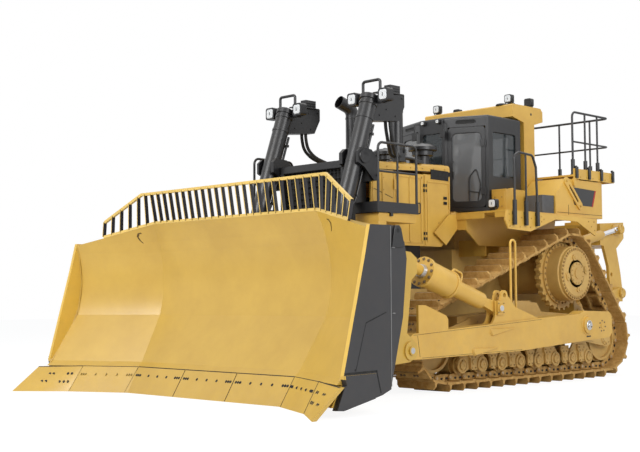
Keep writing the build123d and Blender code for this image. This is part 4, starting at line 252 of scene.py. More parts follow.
def worn_steel(name, color, rust, rough=0.55, metal=0.55, scale=9):
    """Bare steel, with rusty and dusty patches"""
    s = Shader(name)
    blotch = s.ramp(s.noise(scale, 8, 0.72), (0.36, 0.0), (0.62, 1.0))
    fine = s.ramp(s.noise(scale * 9, 5, 0.7), (0.4, 0.0), (0.7, 0.5))
    base = s.mix(blotch, color, rust)
    base = s.mix(fine, base, DUST)
    s.set(Base_Color=base, Metallic=metal)
    s.set(Roughness=s.ramp(blotch, (0.0, rough), (1.0, min(0.95, rough + 0.3))))
    s.bump(s.noise(scale * 14, 6, 0.7), 0.25, 0.004)
    return s.material


def plain(name, color, rough, metal=0.0, scale=60, variation=0.25, strength=0.1):
    """A moulded, cast or machined surface with fine grain"""
    s = Shader(name)
    shade = tuple(c * (1 - variation) for c in color)
    base = s.mix(s.ramp(s.noise(scale * 0.1, 4), (0.3, 0.0), (0.7, 1.0)), shade, color)
    s.set(Base_Color=base, Metallic=metal)
    s.set(Roughness=s.ramp(s.noise(scale * 0.3, 4), (0.3, rough * 0.85), (0.7, min(1, rough * 1.15))))
    s.bump(s.noise(scale * 4, 3), strength, 0.002)
    return s.material


def two_tone(name, color, second, mask):
    """Paint in two colours, parted by a mask built from the shader; the second keeps nearly clear of dust"""
    s = Shader(name)
    cloud = s.cloud()
    a = s.mix(cloud, tuple(c * 0.84 for c in color), color)
    b = s.mix(cloud, tuple(c * 0.85 for c in second), second)
    where = mask(s)
    dusty = s.ramp(s.noise(5.5, 7, 0.7), (0.38, 0.0), (0.66, 0.12))
    dusty = s.math("MULTIPLY", dusty, s.math("SUBTRACT", 1.0, s.math("MULTIPLY", where, 0.92)))
    base = s.mix(dusty, s.mix(where, a, b), DUST)
    s.set(Base_Color=base, Roughness=0.4, Coat_Weight=0.12, Coat_Roughness=0.25)
    s.bump(s.noise(135, 3), 0.06, 0.004)
    return s.material


def outer_or_rear(s):
    """1 on the wear blocks low down and on faces that look outward or back, 0 on the front and inner faces"""
    place, normal = s.parts(s.place), s.parts(s.normal())
    outward = s.math("MULTIPLY", s.math("SIGN", place["X"]), normal["X"])
    low = s.math("LESS_THAN", place["Z"], WEAR_BLOCK_TOP)
    return s.math("GREATER_THAN", s.math("MAXIMUM", low, s.math("MAXIMUM", outward, normal["Y"])), 0.4)


def sideways(s):
    """1 on faces that look to either side"""
    return s.math("GREATER_THAN", s.math("ABSOLUTE", s.parts(s.normal())["X"]), 0.6)


def between_y(low, high):
    """1 between two places along the machine"""
    def mask(s):
        y = s.parts(s.place)["Y"]
        return s.math("MULTIPLY", s.math("GREATER_THAN", y, low), s.math("LESS_THAN", y, high))
    return mask


def with_rod(name, color, low, high):
    """A painted cylinder whose rod is bare and polished between two places along the machine"""
    s = Shader(name)
    mask = between_y(low, high)(s)
    grime = s.ramp(s.noise(6, 6, 0.7), (0.35, 0.0), (0.7, 0.35))
    painted = s.mix(grime, color, DUST)
    s.set(Base_Color=s.mix(mask, painted, (0.78, 0.78, 0.8)), Metallic=mask)
    s.set(Roughness=s.ramp(mask, (0.0, 0.45), (1.0, 0.1)))
    s.bump(s.noise(120, 3), 0.05, 0.003)
    return s.material


def glass_material(name, color, alpha):
    s = Shader(name)
    s.set(Base_Color=s.mix(s.noise(2, 2), color, tuple(c * 0.8 for c in color)), Roughness=0.05, Metallic=0.0)
    s.set(Alpha=alpha, Coat_Weight=0.6, Coat_Roughness=0.03)
    s.bump(s.noise(3, 2), 0.02, 0.002)
    return s.material


M = {
    "yellow": paint("yellow_paint", (0.68, 0.415, 0.072), (0.56, 0.325, 0.052), 0.4, 0.0, 1.6, 0.42),
    "blade": paint("blade_paint", (0.58, 0.37, 0.062), (0.5, 0.31, 0.05), 0.3, -0.2, 0.5, 0.25),
    "dusty": paint("dusty_paint", (0.64, 0.41, 0.115), (0.48, 0.29, 0.075), 0.55, 0.2, 2.2, 0.6),
    "charcoal": paint(
        "charcoal_paint", (0.0105, 0.0105, 0.0115), (0.007, 0.007, 0.008), 0.36, -0.4, 0.4, 0.12,
    ),
    "cab": paint("cab_paint", (0.015, 0.0155, 0.017), (0.01, 0.01, 0.011), 0.42, -1.0, 0.0, 0.05),
    "shoe": worn_steel("track_shoes", (0.56, 0.34, 0.1), (0.38, 0.2, 0.045), 0.6, 0.1),
    "dusty_link": worn_steel("track_links", (0.62, 0.4, 0.12), (0.36, 0.19, 0.05), 0.55, 0.15, 14),
    "rail": worn_steel("rubbed_steel", (0.6, 0.5, 0.36), (0.42, 0.28, 0.13), 0.4, 0.6),
    "bolt": worn_steel("dark_bolts", (0.2, 0.17, 0.13), (0.12, 0.08, 0.04), 0.5, 0.5, 30),
    "dusty_bolt": worn_steel("dusty_bolts", (0.46, 0.29, 0.09), (0.24, 0.13, 0.04), 0.6, 0.2, 30),
    "chrome": plain("polished_rod", (0.75, 0.75, 0.77), 0.12, 1.0, 30, 0.08, 0.02),
    "plastic": plain("black_plastic", (0.018, 0.018, 0.019), 0.55, 0.0, 90),
    "rubber": plain("black_rubber", (0.012, 0.012, 0.012), 0.7, 0.0, 70, 0.3, 0.25),
    "bright": plain("bright_metal", (0.62, 0.62, 0.62), 0.35, 0.9, 40),
    "fabric": plain("seat_cloth", (0.035, 0.036, 0.04), 0.9, 0.0, 400, 0.4, 0.6),
    # nearly black seams, joints, bulbs and radiator core, and also painted shade in slots, holes and nut
    # pockets
    "core": plain("dark_parts_and_painted_shade", (0.006, 0.006, 0.006), 0.8, 0.0, 50),
    "shadow_yellow": plain("slot_shadow", (0.1, 0.055, 0.012), 0.8, 0.0, 50),
    "yellow_bolt": paint("painted_bolts", (0.58, 0.35, 0.07), (0.36, 0.2, 0.04), 0.45, 0.0, 1.6, 0.5),
    "grey": plain("grey_trim", (0.2, 0.2, 0.2), 0.5, 0.3, 50),
    "grey_box": plain("grey_box_paint", (0.075, 0.076, 0.08), 0.5, 0.0, 60),
    "end_plates": two_tone("end_plate_paint", (0.74, 0.47, 0.07), (0.021, 0.0205, 0.023), outer_or_rear),
    "guard": two_tone("spill_guard_paint", (0.74, 0.5, 0.12), (0.01, 0.01, 0.016), sideways),
    "ripper_tilt": with_rod("ripper_tilt_paint", (0.62, 0.37, 0.07), 4.4, 4.86),
    "tilt": with_rod("tilt_cylinder_paint", (0.6, 0.36, 0.07), -2.04, -1.68),
    "glass": glass_material("tinted_glass", (0.035, 0.045, 0.05), 0.55),
    "door_glass": glass_material("door_glass", (0.2, 0.205, 0.21), 0.72),
    "lens": glass_material("lamp_lens", (0.85, 0.87, 0.88), 0.9),
    "red": plain("red_panel", (0.45, 0.02, 0.015), 0.5),
}

# which carried-over nodes have each look, without the side in their names
NODES_BY_LOOK = {
    "blade": "moldboard cutting_edges",
    "yellow": "push_arm tilt_brace hood side_panels engine_door fender rear_tank rops rear_platform "
              "ripper_mount ripper_frame ripper_beam ripper_shank",
    "dusty": "main_frame track_frame final_drive rollers",
    "end_plates": "end_plates",
    "guard": "spill_guard",
    "ripper_tilt": "ripper_tilt_cylinders",
    "tilt": "tilt_cylinder",
    "charcoal": "cylinder_yokes lift_cylinder radiator_guard deck_rails rear_rails front_platforms "
                "air_intakes ripper_lift_cylinder work_lamps engine_block exhaust_stacks",
    "core": "radiator_grille",
    "cab": "cab_shell cab_roof cab_door",
    "shoe": "track",
    "chrome": "lift_rod ripper_lift_rod",
    "glass": "cab_glass",
    "door_glass": "door_glass",
    "fabric": "operator_seat",
    "plastic": "dash_console",
}

# -------------------- building pieces

UP = Vector((0, 0, 1))
BEVEL_ANGLE = radians(40)


def across_line(way):
    """Two directions square to a line and to each other"""
    way = Vector(way).normalized()
    first = way.cross(UP if abs(way.z) < 0.9 else Vector((1, 0, 0))).normalized()
    return first, way.cross(first)


def circle(middle, first, second, radius, count, start=0.0):
    """Places round a middle, in the plane of two directions"""
    turns = [start + 2 * pi * k / count for k in range(count)]
    return [middle + (first * cos(turn) + second * sin(turn)) * radius for turn in turns]


def ring_of(place, way, radius, count, start=0.0):
    """Places round an axis"""
    return circle(Vector(place), *across_line(way), radius, count, start)


def rounded_ring(low_a, high_a, low_b, high_b, radius, steps):
    """A rectangle with rounded corners"""
    ring = []
    for quarter, (a, b) in enumerate((
        (high_a - radius, high_b - radius), (low_a + radius, high_b - radius),
        (low_a + radius, low_b + radius), (high_a - radius, low_b + radius),
    )):
        for k in range(steps + 1):
            turn = (quarter + k / steps) * pi / 2
            ring.append((a + radius * cos(turn), b + radius * sin(turn)))
    return ring


def rounded(points, bend, steps):
    """A route with its corners rounded"""
    points = [Vector(point) for point in points]
    route = [points[0]]
    for before, corner, after in zip(points, points[1:], points[2:]):
        reach = min(bend, (corner - before).length * 0.49, (after - corner).length * 0.49)
        a = corner + (before - corner).normalized() * reach
        b = corner + (after - corner).normalized() * reach
        for k in range(steps + 1):
            t = k / steps
            route.append(a * (1 - t) ** 2 + corner * 2 * t * (1 - t) + b * t * t)
    return route + [points[-1]]


class Build:
    """The faces of one piece, gathered from simple solids; `look` numbers the material of what comes next"""

    def __init__(self):
        self.points = []
        self.faces = []
        self.looks = []
        self.look = 0

    def face(self, *corners):
        self.faces.append(corners)
        self.looks.append(self.look)

    def loft(self, rings, closed=False):
        """A skin through rings of as many points, with flat ends unless it closes on itself"""
        start, count = len(self.points), len(rings[0])
        for ring in rings:
            self.points.extend(Vector(point) for point in ring)
        for k in range(len(rings) if closed else len(rings) - 1):
            a = start + k * count
            b = start + (k + 1) % len(rings) * count
            for j in range(count):
                n = (j + 1) % count
                self.face(a + j, a + n, b + n, b + j)
        if not closed:
            self.face(*range(start, start + count))
            self.face(*range(start + (len(rings) - 1) * count, start + len(rings) * count))

    def slab(self, outline, depth):
        """A plate from an outline of points and the vector of its thickness"""
        self.loft([outline, [Vector(point) + Vector(depth) for point in outline]])

    def plate_x(self, outline, x0, x1):
        self.slab([(x0, y, z) for y, z in outline], (x1 - x0, 0, 0))

    def strip(self, start, end, width, x, lift):
        """A thin strip between two places (y, z) on a face square to X"""
        (y0, z0), (y1, z1) = start, end
        length = hypot(y1 - y0, z1 - z0)
        ny, nz = -(z1 - z0) / length * width / 2, (y1 - y0) / length * width / 2
        outline = [(y0 + ny, z0 + nz), (y1 + ny, z1 + nz), (y1 - ny, z1 - nz), (y0 - ny, z0 - nz)]
        self.plate_x(outline, x, x + lift)

    def box(self, x0, x1, y0, y1, z0, z1, edge=0.004):
        """A block with broken upright edges"""
        x0, x1 = sorted((x0, x1))
        y0, y1 = sorted((y0, y1))
        e = edge
        ring = [
            (x0 + e, y0), (x1 - e, y0), (x1, y0 + e), (x1, y1 - e),
            (x1 - e, y1), (x0 + e, y1), (x0, y1 - e), (x0, y0 + e),
        ]
        self.loft([[(x, y, z0) for x, y in ring], [(x, y, z1) for x, y in ring]])

    def turned(self, place, way, profile, sides=20, open_bore=False):
        """A turned shape from (distance along the axis, radius), with flat ends or an open bore"""
        place, way = Vector(place), Vector(way).normalized()
        self.loft([ring_of(place + way * along, way, radius, sides) for along, radius in profile], open_bore)

    def disc(self, place, way, radius, height, sides=20, edge=0.003):
        """A low round boss with a broken rim"""
        self.turned(place, way, [(0, radius), (height - edge, radius), (height, radius - edge)], sides)

    def bolt(self, way, size, *places):
        """Bolts that look one way, each a washer with a head"""
        for place in places:
            self.turned(place, way, [(0, size * 1.25), (size * 0.2, size * 1.25)], 10)
            self.turned(place, way, [(0, size), (size * 0.75, size), (size * 0.95, size * 0.75)], 6)

    def tube(self, points, radius, sides=10, bend=0.0, steps=6):
        """A round tube through points, with rounded corners"""
        route = rounded(points, bend, steps) if bend else [Vector(point) for point in points]
        rings = []
        first = None
        for k, point in enumerate(route):
            before, after = route[max(0, k - 1)], route[min(len(route) - 1, k + 1)]
            way = (after - before).normalized()
            if first is None:
                first = across_line(way)[0]
            first = (first - way * first.dot(way)).normalized()
            rings.append(circle(point, first, way.cross(first), radius, sides))
        self.loft(rings)

    def make(self, name, looks, body="chassis", edge=0.0, smooth_angle=32):
        """The finished piece, with its materials and broken edges, riding on its body"""
        looks = looks.split()
        mesh = bpy.data.meshes.new(name)
        mesh.from_pydata(self.points, [], self.faces)
        work = bmesh.new()
        work.from_mesh(mesh)
        bmesh.ops.recalc_face_normals(work, faces=work.faces)
        work.to_mesh(mesh)
        work.free()
        for look in looks:
            mesh.materials.append(M[look])
        mesh.polygons.foreach_set("material_index", self.looks)
        mesh.update()
        piece = bpy.data.objects.new(name, mesh)
        scene.collection.objects.link(piece)
        mesh.set_sharp_from_angle(angle=radians(smooth_angle))
        for face in mesh.polygons:
            face.use_smooth = True
        if edge:
            bevel = piece.modifiers.new("edges", "BEVEL")
            bevel.width = edge
            bevel.segments = 2
            bevel.limit_method = "ANGLE"
            bevel.angle_limit = BEVEL_ANGLE
        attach(piece, body)
        return piece


# -------------------- sizes shared with the CAD, in metres

TRACK_X, SHOE_HALF, SHOES = 1.448, 0.355, 40
RAIL_HALF, SHOE_THICKNESS, GROUSER = 0.05, 0.035, 0.102
RAIL_X = 0.1225
# (y, z, radius) of the rear idler, the front idler and the sprocket, to the chain's pitch line
WHEELS = ((3.11, 0.657, 0.47), (-1.33, 0.657, 0.47), (2.07, 1.72, 0.588))
ROLLER_Z, ROLLER_FIRST_Y, ROLLER_PITCH, ROLLERS = 0.3523, -0.78, 0.4771, 8
SKIRT_OUT = 0.234
DRIVE_Y, DRIVE_Z = WHEELS[2][:2]
TRUNNION = (1.82, 0.89)

FACE_Y, BEND_X, WING = -4.095, 1.66, radians(25.4)
BOARD_LOW_Z, ARC_Z, ARC_RADIUS = 0.361, 1.616, 1.744
ARC_N = sqrt(ARC_RADIUS**2 - (ARC_Z - BOARD_LOW_Z) ** 2)
EDGE_SLOPE = radians(58)
END_BIT_X, END_TIP = 2.498, (3.179, -5.27)
PLATE_X = 3.115

ARM_FACE_X = 2.15
BRACE_BALL, BRACE_PIN = Vector((2.05, -2.27, 1.756)), Vector((2.05, -0.45, 1.18))
LIFT_X, LIFT_HEAD = 0.9, (-1.859, 4.27)
LIFT_PIVOT = (-2.175, 3.354)
LIFT_WAY = Vector((0, -0.325789, -0.945442))
LIFT_BACK = Vector((1, 0, 0)).cross(LIFT_WAY)
SIDE_X = 0.8


def board_depth(z):
    """How far the moldboard's face lies behind its lower edge"""
    return sqrt(ARC_RADIUS**2 - (z - ARC_Z) ** 2) - ARC_N


def wing_y(x, depth=0.0):
    """How far along the machine the blade's face is at a place across it, or a skin that lies deeper"""
    bend = BEND_X + depth * tan(WING / 2)
    return FACE_Y + depth - max(0.0, x - bend) * tan(WING)


# -------------------- tracks


def chain_links():
    """Each link of the chain, in the plane of Y and Z, as (start, way along, way outward, length)"""
    turns = []
    for k, (y0, z0, r0) in enumerate(WHEELS):
        y1, z1, r1 = WHEELS[(k + 1) % 3]
        run = hypot(y1 - y0, z1 - z0)
        turns.append(atan2(z1 - z0, y1 - y0) + pi / 2 + atan2(r0 - r1, sqrt(run**2 - (r0 - r1) ** 2)))
    route = []
    for k, (y, z, r) in enumerate(WHEELS):
        first, last = turns[k - 1], turns[k]
        while last > first:
            last -= 2 * pi
        steps = 90
        for j in range(steps + 1):
            angle = first + (last - first) * j / steps
            route.append(Vector((0, y + r * cos(angle), z + r * sin(angle))))
    route.append(route[0])
    lengths = [(b - a).length for a, b in zip(route, route[1:])]
    total = sum(lengths)
    pins = []
    for k in range(SHOES):
        left = total * (k + 0.5) / SHOES
        for a, b, length in zip(route, route[1:], lengths):
            if left <= length:
                pins.append(a.lerp(b, left / length))
                break
            left -= length
    links = []
    for k, pin in enumerate(pins):
        step = pins[(k + 1) % SHOES] - pin
        way = step.normalized()
        links.append((pin, way, Vector((0, -way.z, way.y)), step.length))
    return links


# a shoe's section as (share of the pitch, height above the rails), with its lapped lips and its grouser
SHOE_SECTION = (
    (0.015, 0.0), (0.015, 0.024), (0.05, 0.033), (0.64, 0.035), (0.7, 0.044), (0.738, 0.134),
    (0.75, 0.137), (0.825, 0.137), (0.838, 0.134), (0.868, 0.044), (0.905, 0.032), (0.985, 0.026),
    (1.01, -0.001), (1.15, -0.001), (1.16, -0.008), (1.15, -0.013), (0.985, -0.013), (0.96, 0.0),
)
# a link's side as (share of the pitch, height above the pitch line)
LINK_SIDE = (
    (-0.13, 0.0), (-0.09, 0.036), (0.0, 0.047), (0.1, 0.05), (0.88, 0.05), (1.0, 0.047), (1.09, 0.036),
    (1.13, 0.0), (1.1, -0.03), (1.0, -0.042), (0.9, -0.044), (0.82, -0.05), (0.18, -0.05), (0.1, -0.044),
    (0.0, -0.042), (-0.1, -0.03),
)
# its two halves: the front one laps inside the link before it, the rear one outside the next
LINK_FRONT = [corner for corner in LINK_SIDE if corner[0] < 0.6] + [(0.6, -0.05), (0.6, 0.05)]
LINK_FRONT.sort(key=lambda corner: atan2(corner[1], corner[0] - 0.3))
LINK_REAR = [corner for corner in LINK_SIDE if corner[0] > 0.4] + [(0.4, -0.05), (0.4, 0.05)]
LINK_REAR.sort(key=lambda corner: atan2(corner[1], corner[0] - 0.7))
LINK_HALF_WIDTH = 0.0275
# (place along a shoe, share of the grouser's height there)
SHOE_ENDS = ((-SHOE_HALF, 0.72), (-SHOE_HALF + 0.035, 1), (SHOE_HALF - 0.035, 1), (SHOE_HALF, 0.72))
# outline of a link's nut pocket, drawn as a dark sheet of painted shade
NUT_POCKET_SHADE = [(0.085 * cos(t), 0.022 * sin(t)) for t in (0, 0.8, pi - 0.8, pi, pi + 0.8, 2 * pi - 0.8)]
GROUSER_CAP = ((0.745, -0.012), (0.745, -0.001), (0.752, 0), (0.823, 0), (0.83, -0.001), (0.83, -0.012))
SHOE_SEAM = ((1.003, -0.004), (1.003, 0.0008), (1.024, 0.0008), (1.024, -0.004))


def build_track(side, name):
    shoes, chain = Build(), Build()
    middle = side * TRACK_X
    for pin, way, out, pitch in chain_links():

        def at(share, height, x):
            return pin + way * (share * pitch) + out * height + Vector((x, 0, 0))

        def bar(section, base, reach):
            corners = [at(share, base + height, middle - reach) for share, height in section]
            shoes.slab(corners, (2 * reach, 0, 0))

        shoes.look = 0
        shoes.loft([
            [at(share, RAIL_HALF + (height if height < 0.05 else height * tip), middle + x)
             for share, height in SHOE_SECTION]
            for x, tip in SHOE_ENDS
        ])
        shoes.look = 1
        bar(GROUSER_CAP, RAIL_HALF + SHOE_THICKNESS + GROUSER, SHOE_HALF - 0.036)
        shoes.look = 3
        bar(SHOE_SEAM, RAIL_HALF, SHOE_HALF)
        shoes.look = 2
        for share in (0.24, 0.53):
            for x in (-RAIL_X - 0.03, -RAIL_X + 0.03, RAIL_X - 0.03, RAIL_X + 0.03):
                shoes.bolt(out, 0.016, at(share, RAIL_HALF + SHOE_THICKNESS, middle + x))
        for row in (-1, 1):
            x = middle + row * RAIL_X
            inner, outer = x - row * LINK_HALF_WIDTH, x + row * LINK_HALF_WIDTH
            chain.look = 0
            for half, a, b in ((LINK_FRONT, inner, x), (LINK_REAR, x - row * 0.002, outer)):
                chain.slab([at(share, height, a) for share, height in half], (b - a, 0, 0))
            # painted shade in the links' nut pockets
            chain.look = 2
            for share in (0.3, 0.66):
                corners = [at(share + a, 0.012 + b, outer - row * 0.001) for a, b in NUT_POCKET_SHADE]
                chain.slab(corners, (row * 0.003, 0, 0))
            chain.look = 1
            chain.disc(at(1.0, 0, outer), (row, 0, 0), 0.026, 0.01, 14)
        chain.look = 0
        chain.turned(at(0, 0, middle - 0.097), (1, 0, 0), [(0, 0.037), (0.194, 0.037)], 14)
    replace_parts(shoes.make(f"track_shoes_{name}", "shoe rail bolt core"), f"track_{name}")
    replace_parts(chain.make(f"track_chain_{name}", "dusty_link rail core"), f"track_{name}")


# -------------------- rollers' caps, bogie blocks and the track frames' bolts

BOGIE_SIDE = (
    (-0.105, 0.205), (-0.105, 0.13), (-0.07, 0.09), (-0.07, -0.05), (-0.045, -0.075), (0.045, -0.075),
    (0.07, -0.05), (0.07, 0.09), (0.105, 0.13), (0.105, 0.205),
)
ROLLER_CAP = (
    (0, 0.118), (0.016, 0.118), (0.022, 0.11), (0.022, 0.09), (0.01, 0.084), (0.01, 0.066), (0.03, 0.062),
    (0.034, 0.056), (0.034, 0.026), (0.026, 0.02),
)
IDLER_CAP = ((0, 0.135), (0.014, 0.13), (0.018, 0.1), (0.03, 0.092), (0.034, 0.06), (0.028, 0.04))
BOGIE_BOLTS = tuple(
    (a * edge, b) for a, b in ((0.07, 0.165), (0.042, -0.045), (0.042, 0.115)) for edge in (-1, 1)
)
BOGIE_THICKNESS = 0.034


def build_undercarriage(side, name):
    caps, blocks, bolts = Build(), Build(), Build()
    for edge in (-1, 1):
        face = side * TRACK_X + edge * SKIRT_OUT
        thickness = (edge * BOGIE_THICKNESS, 0, 0)
        outer = face + edge * BOGIE_THICKNESS
        out = (edge, 0, 0)
        for k in range(ROLLERS):
            y = ROLLER_FIRST_Y + k * ROLLER_PITCH
            caps.turned((face, y, ROLLER_Z), out, ROLLER_CAP, 28)
            bolts.bolt(out, 0.011, *ring_of((face + edge * 0.01, y, ROLLER_Z), out, 0.075, 3, 0.5))
            if k < ROLLERS - 1:
                y += ROLLER_PITCH / 2
                blocks.slab([(face, y + a, ROLLER_Z + b) for a, b in BOGIE_SIDE], thickness)
                blocks.disc((outer, y, ROLLER_Z + 0.045), out, 0.04, 0.012)
                bolts.bolt(out, 0.012, *((outer, y + a, ROLLER_Z + b) for a, b in BOGIE_BOLTS))
        for y, z, _ in WHEELS[:2]:
            caps.turned((face, y, z), out, IDLER_CAP, 28)
            bolts.bolt(out, 0.011, *ring_of((face + edge * 0.015, y, z), out, 0.114, 8))
        # bolts along the beam's strake and round the pivot shaft
        bolts.bolt(out, 0.012, *((face, -0.55 + k * 0.245, 0.685) for k in range(13)))
        bolts.bolt(out, 0.011, *ring_of((face, *TRUNNION), out, 0.15, 12, 0.2))
    bolts.bolt((side, 0, 0), 0.012, *((side * (TRACK_X + 0.197), -0.35 + k * 0.17, 0.98) for k in range(6)))
    # cover of the recoil spring's housing, and a lifting eye
    blocks.box(side * (TRACK_X - 0.12), side * (TRACK_X + 0.12), 0.62, 1.12, 1.262, 1.285)
    eye = [(-0.06, 1.1), (0.02, 1.24), (0.07, 1.27), (0.12, 1.24), (0.2, 1.12)]
    blocks.plate_x(eye, side * (TRACK_X + 0.1), side * (TRACK_X + 0.14))
    caps.make(f"roller_caps_{name}", "dusty")
    blocks.make(f"bogie_blocks_{name}", "dusty", edge=0.004)
    bolts.make(f"undercarriage_bolts_{name}", "dusty_bolt")


def build_final_drive(side, name):
    bolts, plates, seams = Build(), Build(), Build()
    out = Vector((side, 0, 0))

    def at(x):
        return Vector((side * x, DRIVE_Y, DRIVE_Z))

    for x, radius, count, size, start in (
        (1.528, 0.477, 32, 0.017, 0), (1.808, 0.4, 40, 0.019, 0), (1.834, 0.16, 12, 0.009, 0.2),
    ):
        bolts.bolt(out, size, *ring_of(at(x), out, radius, count, start))
    plates.turned(at(1.808), out, [(0, 0.372), (0.006, 0.368), (0.006, 0.235), (0.0, 0.228)], 56)
    for place in ring_of(at(1.834), out, 0.265, 4, radians(12)):
        plates.disc(place, out, 0.024, 0.01, 16)
    for angle in (radians(60), radians(180), radians(300)):
        plates.disc(at(1.808) + Vector((0, cos(angle), sin(angle))) * 0.315, out, 0.02, 0.014, 14)
    # seams between the bolted segments of the ring of teeth
    for place in ring_of(at(1.4935), out, 0.545, 9):
        radial = (place - at(1.4935)).normalized()
        tangent = out.cross(radial)
        corners = ((-0.04, -0.003), (0.03, -0.003), (0.03, 0.003), (-0.04, 0.003))
        seams.slab([place + radial * a + tangent * b for a, b in corners], out * 0.002)
    bolts.make(f"final_drive_bolts_{name}", "dusty_bolt")
    plates.make(f"final_drive_cover_{name}", "dusty", edge=0.003)
    seams.make(f"sprocket_seams_{name}", "core")


# -------------------- push arms and braces


def teardrop(length, width, steps=5):
    """A pad with a round nose that tapers to a point, along its own axis"""
    turns = [pi * k / 2 / steps for k in range(steps + 1)]
    return (
        [(width - width * cos(turn), width * sin(turn)) for turn in turns]
        + [(length, 0.0)]
        + [(width - width * cos(turn), -width * sin(turn)) for turn in turns[:0:-1]]
    )


# (y, z, length, slope) of the pads on an arm's outer face
ARM_PADS = ((-0.72, 0.835, 0.62, 0.085), (-1.13, 0.57, 0.61, 0.07))
ARM_SEAMS = (
    ((-2.385, 0.842), (0.57, 1.004), (0.57, 1.0), (-2.385, 0.838)),
    ((-2.26, 0.545), (-2.254, 0.545), (-2.3, 0.835), (-2.306, 0.835)),
    ((-2.215, 0.535), (0.06, 0.568), (0.06, 0.564), (-2.215, 0.531)),
)
CAP_PROFILE = ((0, 0.078), (0.008, 0.078), (0.014, 0.07), (0.014, 0.03), (0.02, 0.024), (0.02, 0.01))


def build_arm(side, name):
    pads, bolts, bright, dark = Build(), Build(), Build(), Build()
    out = Vector((side, 0, 0))
    x = side * ARM_FACE_X
    for y, z, length, slope in ARM_PADS:
        way, up = Vector((0, cos(slope), sin(slope))), Vector((0, -sin(slope), cos(slope)))
        foot = Vector((x, y, z))
        crest = foot + out * 0.03
        pads.loft([
            [foot + way * a + up * b for a, b in teardrop(length, 0.06)],
            [crest + way * a + up * b + way * 0.02 for a, b in teardrop(length * 0.86, 0.04)],
        ])
        dark.disc(foot + way * (length * 0.66) + out * 0.004, out, 0.016, 0.012, 12)
    # silver cap of the trunnion with its bolts, and the bolt circle behind it
    cap = Vector((x + side * 0.041, *TRUNNION))
    bright.turned(cap, out, CAP_PROFILE, 28)
    bolts.bolt(out, 0.011, *ring_of(cap + out * 0.012, out, 0.05, 3, 0.5))
    pads.turned(cap - out * 0.041, out, [(0, 0.16), (0.012, 0.152), (0.012, 0.132)], 32)
    rear_pin = (x, 2.27, 0.87)
    bolts.bolt(out, 0.011, *ring_of(rear_pin, out, 0.085, 7, 0.3))
    pads.disc(rear_pin, out, 0.045, 0.01)
    # painted shade: a dark sheet stands for the inside of a slot in the arm
    slot = ((0, 0), (0.12, 0.005), (0.12, 0.025), (0, 0.02))
    dark.slab([(x, 1.8 + a, 0.7 + b) for a, b in slot], out * 0.003)
    # pins at the blade's end and under the brace
    for y, z, distance, radius in ((-2.5, 0.642, 2.239, 0.042), (-0.45, 1.18, 2.175, 0.044)):
        profile = ((0, radius), (0.004, radius - 0.002), (0.004, 0.014))
        bright.turned((side * distance, y, z), out, profile, 24)
    corners = ((-0.51, 1.12), (-0.39, 1.12), (-0.51, 1.25), (-0.39, 1.25))
    bolts.bolt(out, 0.009, *((side * 2.16, y, z) for y, z in corners))
    for outline in ARM_SEAMS:
        dark.plate_x(outline, x, x + side * 0.0015)
    # feet of the grab hoop
    for y in (-0.062, 0.062):
        pads.disc((side * 2.05, y, 1.168), UP, 0.03, 0.014)
    pads.make(f"arm_pads_{name}", "yellow", "blade", edge=0.003)
    bolts.make(f"arm_bolts_{name}", "bolt", "blade")
    bright.make(f"arm_pins_{name}", "bright", "blade")
    dark.make(f"arm_seams_and_shade_{name}", "core", "blade")


def build_brace(side, name):
    """The bright ball and rod of the tilt brace or cylinder, and the flange bolts of the brace on the left"""
    bright = Build()
    ball, pin = BRACE_BALL * Vector((side, 1, 1)), BRACE_PIN * Vector((side, 1, 1))
    way = (pin - ball).normalized()
    profile = ((0, 0.03), (0.01, 0.05), (0.035, 0.066), (0.08, 0.068), (0.1, 0.052))
    bright.turned(ball - way * 0.15, way, profile, 24)
    bright.turned(ball + way * 0.14, way, [(0, 0.085), (0.05, 0.1)], 24)
    bright.make(f"brace_ball_{name}", "bright", "blade")
    if name == "left":
        bolts = Build()
        bolts.bolt(-way, 0.019, *ring_of(ball + way * 0.19, way, 0.176, 12))
        bolts.bolt(way, 0.012, *ring_of(ball + way * 0.802, way, 0.166, 12))
        bolts.make(f"brace_bolts_{name}", "bolt", "blade")


# -------------------- cutting edges, seams and bolts


def edge_point(x_share, down):
    """A place on the cutting edge, by metres out along it from the middle and metres down its slope"""
    side = 1 if x_share >= 0 else -1
    out = abs(x_share)
    depth = -down * cos(EDGE_SLOPE)
    z = BOARD_LOW_Z - down * sin(EDGE_SLOPE)
    if out <= BEND_X:
        return Vector((x_share, FACE_Y + depth, z))
    x = BEND_X + (out - BEND_X) * cos(WING)
    return Vector((side * x, wing_y(x, depth), z))


def edge_normal(x_share):
    """The way the cutting edge faces there"""
    side = 1 if x_share >= 0 else -1
    if abs(x_share) <= BEND_X:
        return Vector((0, -sin(EDGE_SLOPE), cos(EDGE_SLOPE)))
    return Vector((side * sin(WING) * sin(EDGE_SLOPE), -cos(WING) * sin(EDGE_SLOPE), cos(EDGE_SLOPE)))


EDGE_DROP = BOARD_LOW_Z / sin(EDGE_SLOPE)
# bolts, by their share of a segment's length and by their shares of an end bit's way out and down
BOLT_SHARES = (0.05, 0.09, 0.13, 0.31, 0.5, 0.69, 0.87, 0.91, 0.95)
END_BIT_BOLTS = (
    (0.14, 0.3), (0.22, 0.3), (0.52, 0.3), (0.6, 0.3), (0.12, 0.62), (0.2, 0.62), (0.28, 0.62), (0.55, 0.6),
    (0.63, 0.6),
)


def end_bit_point(side, out, down):
    """A place on an end bit by its shares of the way out and down"""
    top = Vector((END_BIT_X, wing_y(END_BIT_X), BOARD_LOW_Z)).lerp(
        Vector((END_TIP[0], wing_y(END_TIP[0], -0.0125), BOARD_LOW_Z - 0.02)), out
    )
    reach = BOARD_LOW_Z / tan(EDGE_SLOPE)
    low = Vector((END_BIT_X, wing_y(END_BIT_X, -reach), 0)).lerp(Vector((*END_TIP, 0)), out)
    point = top.lerp(low, down)
    return Vector((side * point.x, point.y, point.z))


